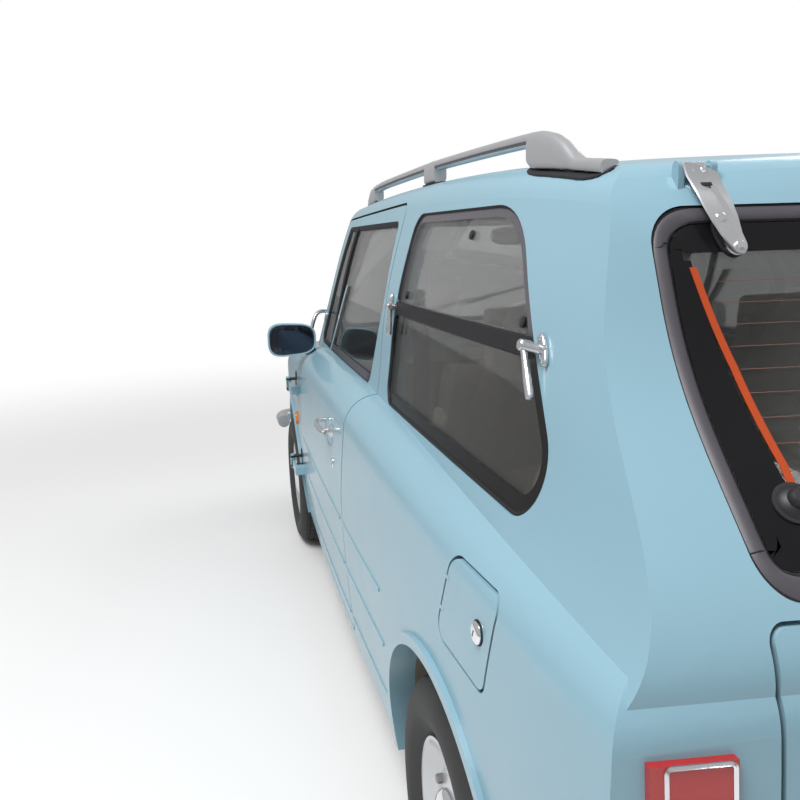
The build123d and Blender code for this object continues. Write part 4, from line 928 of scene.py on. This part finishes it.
def mirror_ring(y, wide, high):
    """One rounded section of the housing, fuller at its outer end."""
    ring = []
    for c, s in turn_steps(44):
        x = rounded(c, 0.55) * wide
        ring.append(mm(MIRROR_X + x, y, MIRROR_Z + rounded(s, 0.62) * high * (1 + MIRROR_SWELL * x)))
    return ring


def mirrors():
    housing = Piece("mirror_housing_left", paint, DOOR)
    housing.shell([mirror_ring(*cut) for cut in HOUSING])
    housings = housing.done(twin=True)
    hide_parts("door_mirror_left")
    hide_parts("door_mirror_right")
    rim = Piece("mirror_rim_left", plastic, DOOR)
    rim.shell([mirror_ring(*cut) for cut in MIRROR_RIM], loop=True)
    rim.done(twin=True)
    face = Piece("mirror_glass_left", mirror_look, DOOR)
    face.shell([mirror_ring(*cut) for cut in MIRROR_GLASS])
    face.done(twin=True)
    arm = Piece("mirror_arm_left", cast_silver, DOOR)
    arm.tube([mm(*p) for p in MIRROR_ARM], [6.5, 6.5], steps=16)
    place, out = door_skin.at(-584, 1046)
    arm.pad(place - out * 0.001, out, (0, 0.6, 0.8), (46, 24, 5), corner=0.6, edge=1.5)
    arm.done(twin=True)
    foot = Piece("mirror_bracket_left", plastic, DOOR)
    foot.tube([mm(*p) for p in MIRROR_FOOT], [11, 8], steps=14, flat=1.5)
    place, out = door_skin.at(-600, 905)
    foot.pad(place - out * 0.002, out, (0, 1, 0), (54, 26, 9), corner=0.5, edge=3)
    foot.done(twin=True)


# Hinges: dark rings round them in the fender as painted shade of their recesses, pin caps
POCKET_SHADE_CUT = [(0, 0.1), (0, 1.6), (3, 2.6), (6, 0.6), (6, 0.1)]
POCKET_FRONT, POCKET_REAR, POCKET_HALF, POCKET_RADIUS = 36, 37, 48, 34
PIN_CAP, PIN_HALF = [(0.2, 0), (9, 0), (9, 3), (7.6, 5.6), (4, 7), (0.2, 7.2)], 22


def hinges():
    skin = Surface(["fender_left", "bulkhead", "side_panel_left", "door_left"])
    # Dark rubber rings where the recesses round the hinges fall in shade: painted shade
    pocket_shade = Piece("hinge_pocket_shade", rubber)
    caps = Piece("hinge_pin_caps", paint)
    low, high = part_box("door_hinges_left")
    x, y = high.x * 1000 - 9, low.y * 1000 + 14
    for z in (low.z * 1000 + PIN_HALF, high.z * 1000 - PIN_HALF):
        ring = rectangle(y - POCKET_FRONT, y + POCKET_REAR, z - POCKET_HALF, z + POCKET_HALF)
        pocket_shade.band(skin, [(*corner, POCKET_RADIUS) for corner in ring], POCKET_SHADE_CUT)
        for sign in SIDES:
            caps.lathe(mm(x, y, z + sign * PIN_HALF), (0, 0, sign), PIN_CAP, steps=20)
    pocket_shade.done(both_sides=True)
    caps.done(both_sides=True)


# Windscreen: rubber with a bright insert, wipers
SCREEN_RUBBER = [(0.5, -1), (0.5, 6.6), (5, 7.6), (14, 5.0), (19, 1.0), (19, -1)]
SCREEN_INSERT = [(5.5, 6.0), (5.5, 8.0), (8.5, 8.2), (10.5, 6.8), (10.5, 5.2)]
WIPERS = ((330, -60), (-60, -440))
WIPER_HUB = [(0.2, -4), (12, -4), (12, 8), (8, 12), (0.2, 12.5)]


def windscreen():
    Piece("windscreen_rubber", rubber).band(screen_glass, SCREEN, SCREEN_RUBBER, edge=4).done()
    Piece("windscreen_insert", chrome).band(screen_glass, SCREEN, SCREEN_INSERT, edge=4).done()
    wipers = Piece("windscreen_wipers", plastic)
    for foot_x, blade_x in WIPERS:
        base, out = screen_glass.at(foot_x, 976)
        tip, tip_out = screen_glass.at(blade_x + 40, 1060)
        wipers.lathe(base + out * 0.006, out, WIPER_HUB)
        wipers.tube([base + out * 0.014, base.lerp(tip, 0.5) + out * 0.022, tip + tip_out * 0.014],
                [6, 4, 3], steps=10, flat=1.4)
        blade = [screen_glass.at(blade_x + 260 * k / 8 - 90, 1022 + 74 * (1 - k / 8)) for k in range(9)]
        wipers.tube([p + n * 0.007 for p, n in blade], [3.2, 3.2], steps=8, flat=0.6)
        wipers.tube([p + n * 0.012 for p, n in blade[1:-1]], [2.4, 2.4], steps=8, flat=1.8)
    wipers.done()


# Wheels: grooved and ribbed tyres instead of the plain ones, hub caps, nuts, valves
WHEEL_HEIGHT, BEAD = 275, 152.4
WALL = [(49.5, 0), (51, 8), (58, 20), (67, 32), (73.5, 44), (74.3, 46), (75.6, 50), (77.2, 60), (77.5, 68),
    (77.0, 78), (75.0, 88), (71.0, 98), (66.0, 105.5), (62.0, 110), (57.5, 114.2)]
TREAD = [(46, 270.0), (43.5, 270.6), (42.5, 264.5), (38.5, 264.8), (37.5, 271.6), (24.5, 273.2),
    (22.5, 273.4), (21.5, 266.5), (17.5, 266.8), (16.5, 273.9), (6, 274.8)]
TREAD_STEPS, BLOCK, BLOCK_DEPTH, RIB_TOP, PLAIN_MIDDLE = 150, 3, 4.5, 268, 10
HUB_CAP = [(0.2, -1), (74, -1), (76, 1.5), (74, 6), (66, 12), (52, 17), (40, 19), (37, 17.6), (34, 18.6),
    (20, 21.5), (0.2, 22.5)]
NUT, NUT_CIRCLE, HUB_SEAT, VALVE_CIRCLE = [(0.2, -1), (9, -1), (9, 9), (7, 12), (0.2, 13)], 92, 62, 118
VALVE = [(0.2, -2), (5, -2), (4.2, 6), (3.4, 16), (4.4, 17), (4.2, 24), (0.2, 25)]


def tyre(name, side, axle_y, track, body):
    """Turned section whose ribs are cut across at every third step."""
    right = [(x, BEAD + r) for x, r in WALL] + TREAD
    line = [(x, r, i >= len(WALL) - 2 and r > RIB_TOP) for i, (x, r) in enumerate(right)]
    line += [(-x, r, cut) for x, r, cut in line[::-1]]
    centre = mm(side * track / 2, axle_y, WHEEL_HEIGHT)
    rings = []
    for k, (c, s) in enumerate(turn_steps(TREAD_STEPS)):
        ring = []
        for x, r, cut in line:
            if cut and (k + (1 if x > 0 else 0)) % BLOCK == 0 and abs(x) > PLAIN_MIDDLE:
                r -= BLOCK_DEPTH
            ring.append(centre + mm(x, r * c, r * s))
        rings.append(ring)
    piece = Piece(name, tyre_mat, body)
    piece.shell(rings, loop=True)
    made = piece.done(angle=24)[0]
    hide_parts(name.replace("tread_", ""))


def wheel(end, hand, side, axle_y):
    body = f"roadwheel_{end}_{hand}"
    tyre(f"tread_tyre_{end}_{hand}", side, axle_y, TRACKS[end], body)
    skin = Surface([f"wheel_{end}_{hand}"])
    skin.ray = Vector((side, 0, 0))
    hub = Piece(f"hub_cap_{end}_{hand}", chrome, body)
    seat, _ = skin.at(axle_y + HUB_SEAT, WHEEL_HEIGHT)
    hub.lathe(Vector((seat.x, axle_y * 0.001, WHEEL_HEIGHT * 0.001)), (side, 0, 0), HUB_CAP, steps=48)
    hub.done()
    nuts = Piece(f"wheel_nuts_{end}_{hand}", steel, body)
    for k in range(4):
        a = math.pi / 4 + k * math.pi / 2
        spot, _ = skin.at(axle_y + NUT_CIRCLE * math.cos(a), WHEEL_HEIGHT + NUT_CIRCLE * math.sin(a))
        nuts.lathe(spot, (side, 0, 0), NUT, steps=6)
    nuts.done(angle=20)
    valve = Piece(f"tyre_valve_{end}_{hand}", rubber, body)
    spot, _ = skin.at(axle_y + VALVE_CIRCLE, WHEEL_HEIGHT)
    valve.lathe(spot, (side, -0.2, 0), VALVE, steps=12)
    valve.done()


# Lamps: rings and ribs at the front, bright rims round the three tail lamp windows
LAMP_RING = [(93, -2), (94, 2), (91, 7), (84, 9.5), (78.5, 8), (78, -2)]
LAMP_HALF, RIB_GAP, RIB_CIRCLE, RIB_SHORTEST = 78, 15, 70, 12
TAIL_RIM = [(0, -1), (0, 2.0), (3, 2.8), (5, 1.6), (5, -1)]
TAIL_X, TAIL_WINDOWS, TAIL_RADIUS = (600, 676), ((560, 636), (640, 716), (720, 796)), 8


def lamps():
    low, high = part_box("headlamp_glasses")
    rings = Piece("headlamp_rings", chrome)
    ribs = Piece("headlamp_ribs", lamp_clear)
    lamp_x, lamp_z, glass_y = high.x * 1000 - LAMP_HALF, (low.z + high.z) * 500, low.y * 1000
    front_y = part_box("headlamp_bezels")[0].y * 1000
    for x in (lamp_x, -lamp_x):
        rings.lathe(mm(x, front_y + 4, lamp_z), (0, -1, 0), LAMP_RING, steps=56)
        for k in range(-4, 5):
            half = math.sqrt(max(0, RIB_CIRCLE ** 2 - (k * RIB_GAP) ** 2))
            if half > RIB_SHORTEST:
                bow = ((1.2, -half), (-0.6, 0), (1.2, half))
                bar = [mm(x + k * RIB_GAP, glass_y + dy, lamp_z + dz) for dy, dz in bow]
                ribs.tube(bar, [2.6, 2.6], steps=8)
    rings.done()
    ribs.done()
    tail_lamp = Surface(["tail_lamps"], "rear")
    rims = Piece("tail_lamp_rims", chrome)
    for heights in TAIL_WINDOWS:
        window = [(*corner, TAIL_RADIUS) for corner in rectangle(*TAIL_X, *heights)]
        rims.band(tail_lamp, window, TAIL_RIM, edge=2)
    rims.done(both_sides=True)


# Bumpers: rubber insert and bolts; bare plates in frames
INSERT_X, INSERT_TOP, INSERT_LOW = (-690, 0, 690), 438, 426
BUMPER_BOLTS, BUMPER_BOLT_Z = (-420, 420), 448
PLATES = (("rear", ["rear_panel", "rear_bumper"], 350), ("front", ["nose_panel"], 508))


def bumpers():
    for name, view in (("front_bumper", "front"), ("rear_bumper", "rear")):
        skin = Surface([name], view)
        insert = Piece(f"{name}_insert", rubber)
        top, low = [(x, INSERT_TOP) for x in INSERT_X], [(x, INSERT_LOW) for x in INSERT_X]
        insert.ribbon(skin, top, low, -0.4, 2.6, step=24)
        insert.done()
        ends = Piece(f"{name}_bolts", chrome)
        for x in BUMPER_BOLTS:
            ends.bolt(*skin.at(x, BUMPER_BOLT_Z), 9, 5)
        ends.done()


def blank_plates():
    plates = Piece("blank_plates", plate_white)
    surrounds = Piece("plate_frames", plastic)
    screws = Piece("plate_screws", chrome)
    for view, names, z in PLATES:
        skin = Surface(names, view)
        out = skin.ray
        place = skin.at(0, z)[0] + out * 0.004
        surrounds.pad(place, out, (1, 0, 0), (340, 175, 8), corner=0.06, edge=2)
        plates.pad(place + out * 0.0078, out, (1, 0, 0), (328, 163, 1.6), corner=0.06, edge=0.5)
        for x in (-110, 110):
            screws.bolt(place + mm(x, 0, 58) + out * 0.009, out, 6, 3)
    plates.done()
    surrounds.done()
    screws.done()


# Cabin: mirror, speakers, belts
POD = [(0.2, -30), (62, -30), (66, 0), (63, 14), (55, 19), (50, 17), (0.2, 16)]
GRILLE = [(0.2, 0), (47, 0), (46, 2.5), (24, 4), (0.2, 4.4)]
BELT = ((590, 440, 1180), (584, 442, 1000), (600, 440, 700), (640, 430, 420))


def cabin():
    inner = Piece("cabin_mirror", plastic)
    inner.pad(mm(0, -386, 1292), (0, 1, -0.1), (1, 0, 0), (236, 62, 14), corner=0.5, edge=4)
    inner.tube([mm(0, -384, 1318), mm(0, -398, 1340), mm(0, -404, 1362)], [5, 5], steps=10)
    inner.done()
    pods = Piece("speaker_pods", trim_light)
    grilles = Piece("speaker_grilles", plastic)
    for side in SIDES:
        place, facing = mm(side * 585, 1330, 950), Vector((-0.35 * side, -0.5, 0.6))
        pods.lathe(place, facing, POD)
        grilles.lathe(place + facing.normalized() * 0.0165, facing, GRILLE)
    pods.done()
    grilles.done()
    belts = Piece("seat_belts", plastic)
    for side in SIDES:
        belts.tube([mm(side * x, y, z) for x, y, z in BELT], [23, 23], steps=10, flat=0.06)
    belts.done()


# Seats: padded cushions swollen by a cloth run inside the space of their solids
VOXEL, SHRINK, SWELL_CAP = 0.009, 0.006, 0.012
CLOTH_FRAMES = 20
WIDE_COLUMNS, SEAT_COLUMNS, CHANNEL_GAP = (-0.30, -0.10, 0.10, 0.30), (-0.12, 0.12), 0.13
COLUMN_DEPTH, COLUMN_WIDTH, ROW_DEPTH, ROW_WIDTH = 0.006, 0.007, 0.005, 0.006
FLAT_BELOW, HEADREST, FACE = 0.2, 1.03, 0.2


def loose_parts(mesh):
    """Separate closed shells of a mesh, as lists of points and faces."""
    work = bmesh.new()
    work.from_mesh(mesh)
    bmesh.ops.remove_doubles(work, verts=work.verts, dist=1e-6)
    seen, parts = set(), []
    for face in work.faces:
        if face.index in seen:
            continue
        stack, group = [face], []
        seen.add(face.index)
        while stack:
            f = stack.pop()
            group.append(f)
            for g in (g for e in f.edges for g in e.link_faces if g.index not in seen):
                seen.add(g.index)
                stack.append(g)
        index = {}
        for f in group:
            for v in f.verts:
                index.setdefault(v, len(index))
        parts.append(([v.co.copy() for v in index], [[index[v] for v in f.verts] for f in group]))
    work.free()
    return parts


def apply_all(obj):
    """The object's mesh as its modifiers make it, with the modifiers taken off."""
    made = bpy.data.meshes.new_from_object(obj.evaluated_get(bpy.context.evaluated_depsgraph_get()))
    obj.modifiers.clear()
    obj.data = made


def corners_of(points):
    return [Vector([pick(p[i] for p in points) for i in range(3)]) for pick in (min, max)]


def start_cushion(name, points, faces):
    """An even mesh of a shell, a little inside it."""
    mesh = bpy.data.meshes.new(name)
    mesh.from_pydata(points, [], faces)
    low, high = corners_of(points)
    middle, half = (low + high) / 2, (high - low) / 2
    for v in mesh.vertices:
        for i in range(3):
            v.co[i] = middle[i] + (v.co[i] - middle[i]) * (1 - SHRINK / max(half[i], 0.02))
    obj = bpy.data.objects.new(name, mesh)
    scene.collection.objects.link(obj)
    remesh = obj.modifiers.new("remesh", "REMESH")
    remesh.mode, remesh.voxel_size = "VOXEL", VOXEL
    relax = obj.modifiers.new("relax", "SMOOTH")
    relax.factor, relax.iterations = 0.5, 5
    apply_all(obj)
    return obj


def swell(cushions):
    """Blow the cushions up as cloth, by no more than the cap."""
    starts = []
    for obj, _ in cushions:
        starts.append([v.co.copy() for v in obj.data.vertices])
        run = obj.modifiers.new("swell", "CLOTH").settings
        run.quality = 5
        run.mass = 0.3
        run.use_pressure = True
        run.uniform_pressure_force = 4
        run.effector_weights.gravity = 0
        run.tension_stiffness = run.compression_stiffness = 15
    for frame_number in range(1, CLOTH_FRAMES + 1):
        scene.frame_set(frame_number)
    for (obj, _), start in zip(cushions, starts):
        apply_all(obj)
        for v, rest in zip(obj.data.vertices, start):
            move = v.co - rest
            if move.length > SWELL_CAP:
                v.co = rest + move * (SWELL_CAP / move.length)
    scene.frame_set(1)


def press_channels(mesh, columns):
    """Stitched columns and rows pressed into the face that is sat on or leant on."""
    low, high = corners_of([v.co for v in mesh.vertices])
    middle_x = (low.x + high.x) / 2
    flat_seat = high.z - low.z < FLAT_BELOW
    normals = [v.normal.copy() for v in mesh.vertices]
    for v, normal in zip(mesh.vertices, normals):
        facing = normal.z if flat_seat else -normal.y
        if facing < FACE or v.co.z > HEADREST:
            continue
        beside = abs(v.co.x - middle_x)
        near = min(abs(v.co.x - middle_x - c) for c in columns)
        along = v.co.y - low.y if flat_seat else v.co.z - low.z
        across = abs(along % CHANNEL_GAP - CHANNEL_GAP / 2)
        depth = COLUMN_DEPTH * math.exp(-(near / COLUMN_WIDTH) ** 2)
        if beside < max(columns):
            depth = max(depth, ROW_DEPTH * math.exp(-(across / ROW_WIDTH) ** 2))
        v.co -= normal * (depth * min(1, facing * 1.5))


def seats():
    cushions = []
    for node in ("seat_left", "seat_right", "rear_seat"):
        for k, (points, faces) in enumerate(loose_parts(nodes[node].data)):
            cushions.append((start_cushion(f"{node}_cushion_{k}", points, faces), node))
    swell(cushions)
    for obj, node in cushions:
        press_channels(obj.data, WIDE_COLUMNS if node == "rear_seat" else SEAT_COLUMNS)
        rounder = obj.modifiers.new("smooth", "SUBSURF")
        rounder.levels = rounder.render_levels = 1
        apply_all(obj)
        obj.data.materials.clear()
        obj.data.materials.append(cloth)
        for p in obj.data.polygons:
            p.use_smooth = True
        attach(obj, "body")
        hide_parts(node)


hatch_seal()
hatch_print()
hatch_straps()
side_windows()
door_windows()
door_handles()
fuel_flap()
roof_rails()
mirrors()
hinges()
windscreen()
for end, axle_y in (("front", FRONT_AXLE), ("rear", REAR_AXLE)):
    for hand, side in (("left", 1), ("right", -1)):
        wheel(end, hand, side, axle_y)
lamps()
bumpers()
blank_plates()
cabin()
seats()

# Studio: pale floor that fades to white, white backdrop, two soft lights
FLOOR_COLOUR, FLOOR_SIZE = (0.78, 0.78, 0.78, 1), 40
FADE_START, FADE_END = 2.2, 7.0
FLOOR_GLOW, BACKDROP_LIGHT = 0.30, 0.50


def seen_directly(tree):
    """One for what the camera sees by itself or through glass."""
    path = tree.nodes.new("ShaderNodeLightPath")
    return number(tree, "MAXIMUM", path.outputs["Is Camera Ray"], path.outputs["Is Transmission Ray"])


def add_floor():
    mesh = bpy.data.meshes.new("floor")
    bm = bmesh.new()
    bmesh.ops.create_grid(bm, x_segments=2, y_segments=2, size=FLOOR_SIZE)
    bm.to_mesh(mesh)
    bm.free()
    floor = bpy.data.objects.new("floor", mesh)
    scene.collection.objects.link(floor)
    look = bpy.data.materials.new("floor")
    look.use_nodes = True
    tree = look.node_tree
    shader = tree.nodes["Principled BSDF"]
    shader.inputs["Base Color"].default_value = FLOOR_COLOUR
    shader.inputs["Roughness"].default_value = 0.9
    geometry, _ = place_parts(tree)
    distance = operation(tree, "ShaderNodeVectorMath", "LENGTH", geometry.outputs["Position"])
    fade = map_range(tree, distance.outputs["Value"], 0.0, 1.0, start=FADE_START, end=FADE_END)
    fade.interpolation_type = "SMOOTHSTEP"
    glow = tree.nodes.new("ShaderNodeEmission")
    strength = map_range(tree, seen_directly(tree), FLOOR_GLOW, 1.0)
    tree.links.new(strength.outputs["Result"], glow.inputs["Strength"])
    blend = tree.nodes.new("ShaderNodeMixShader")
    parts = (fade.outputs["Result"], shader.outputs["BSDF"], glow.outputs["Emission"])
    for socket, value in zip(blend.inputs, parts):
        tree.links.new(value, socket)
    tree.links.new(blend.outputs["Shader"], tree.nodes["Material Output"].inputs["Surface"])
    mesh.materials.append(look)


def add_backdrop():
    world = bpy.data.worlds.new("studio")
    scene.world = world
    world.use_nodes = True
    tree = world.node_tree
    back = tree.nodes["Background"]
    back.inputs["Color"].default_value = (1, 1, 1, 1)
    strength = map_range(tree, seen_directly(tree), BACKDROP_LIGHT, 1.0)
    tree.links.new(strength.outputs["Result"], back.inputs["Strength"])


def area_light(name, place, target, size, power):
    data = bpy.data.lights.new(name, "AREA")
    data.shape = "RECTANGLE"
    data.size, data.size_y = size
    data.energy = power
    lamp = bpy.data.objects.new(name, data)
    scene.collection.objects.link(lamp)
    lamp.location = place
    lamp.rotation_mode = "QUATERNION"
    lamp.rotation_quaternion = (Vector(target) - Vector(place)).to_track_quat("-Z", "Y")


add_floor()
add_backdrop()
area_light("key", (2.6, 2.2, 5.4), (0, 0.3, 0.8), (2.4, 2.4), 330)
area_light("fill", (-5.0, -2.0, 4.0), (0, 0, 0.8), (4.0, 4.0), 160)
scene.view_settings.view_transform = "Standard"
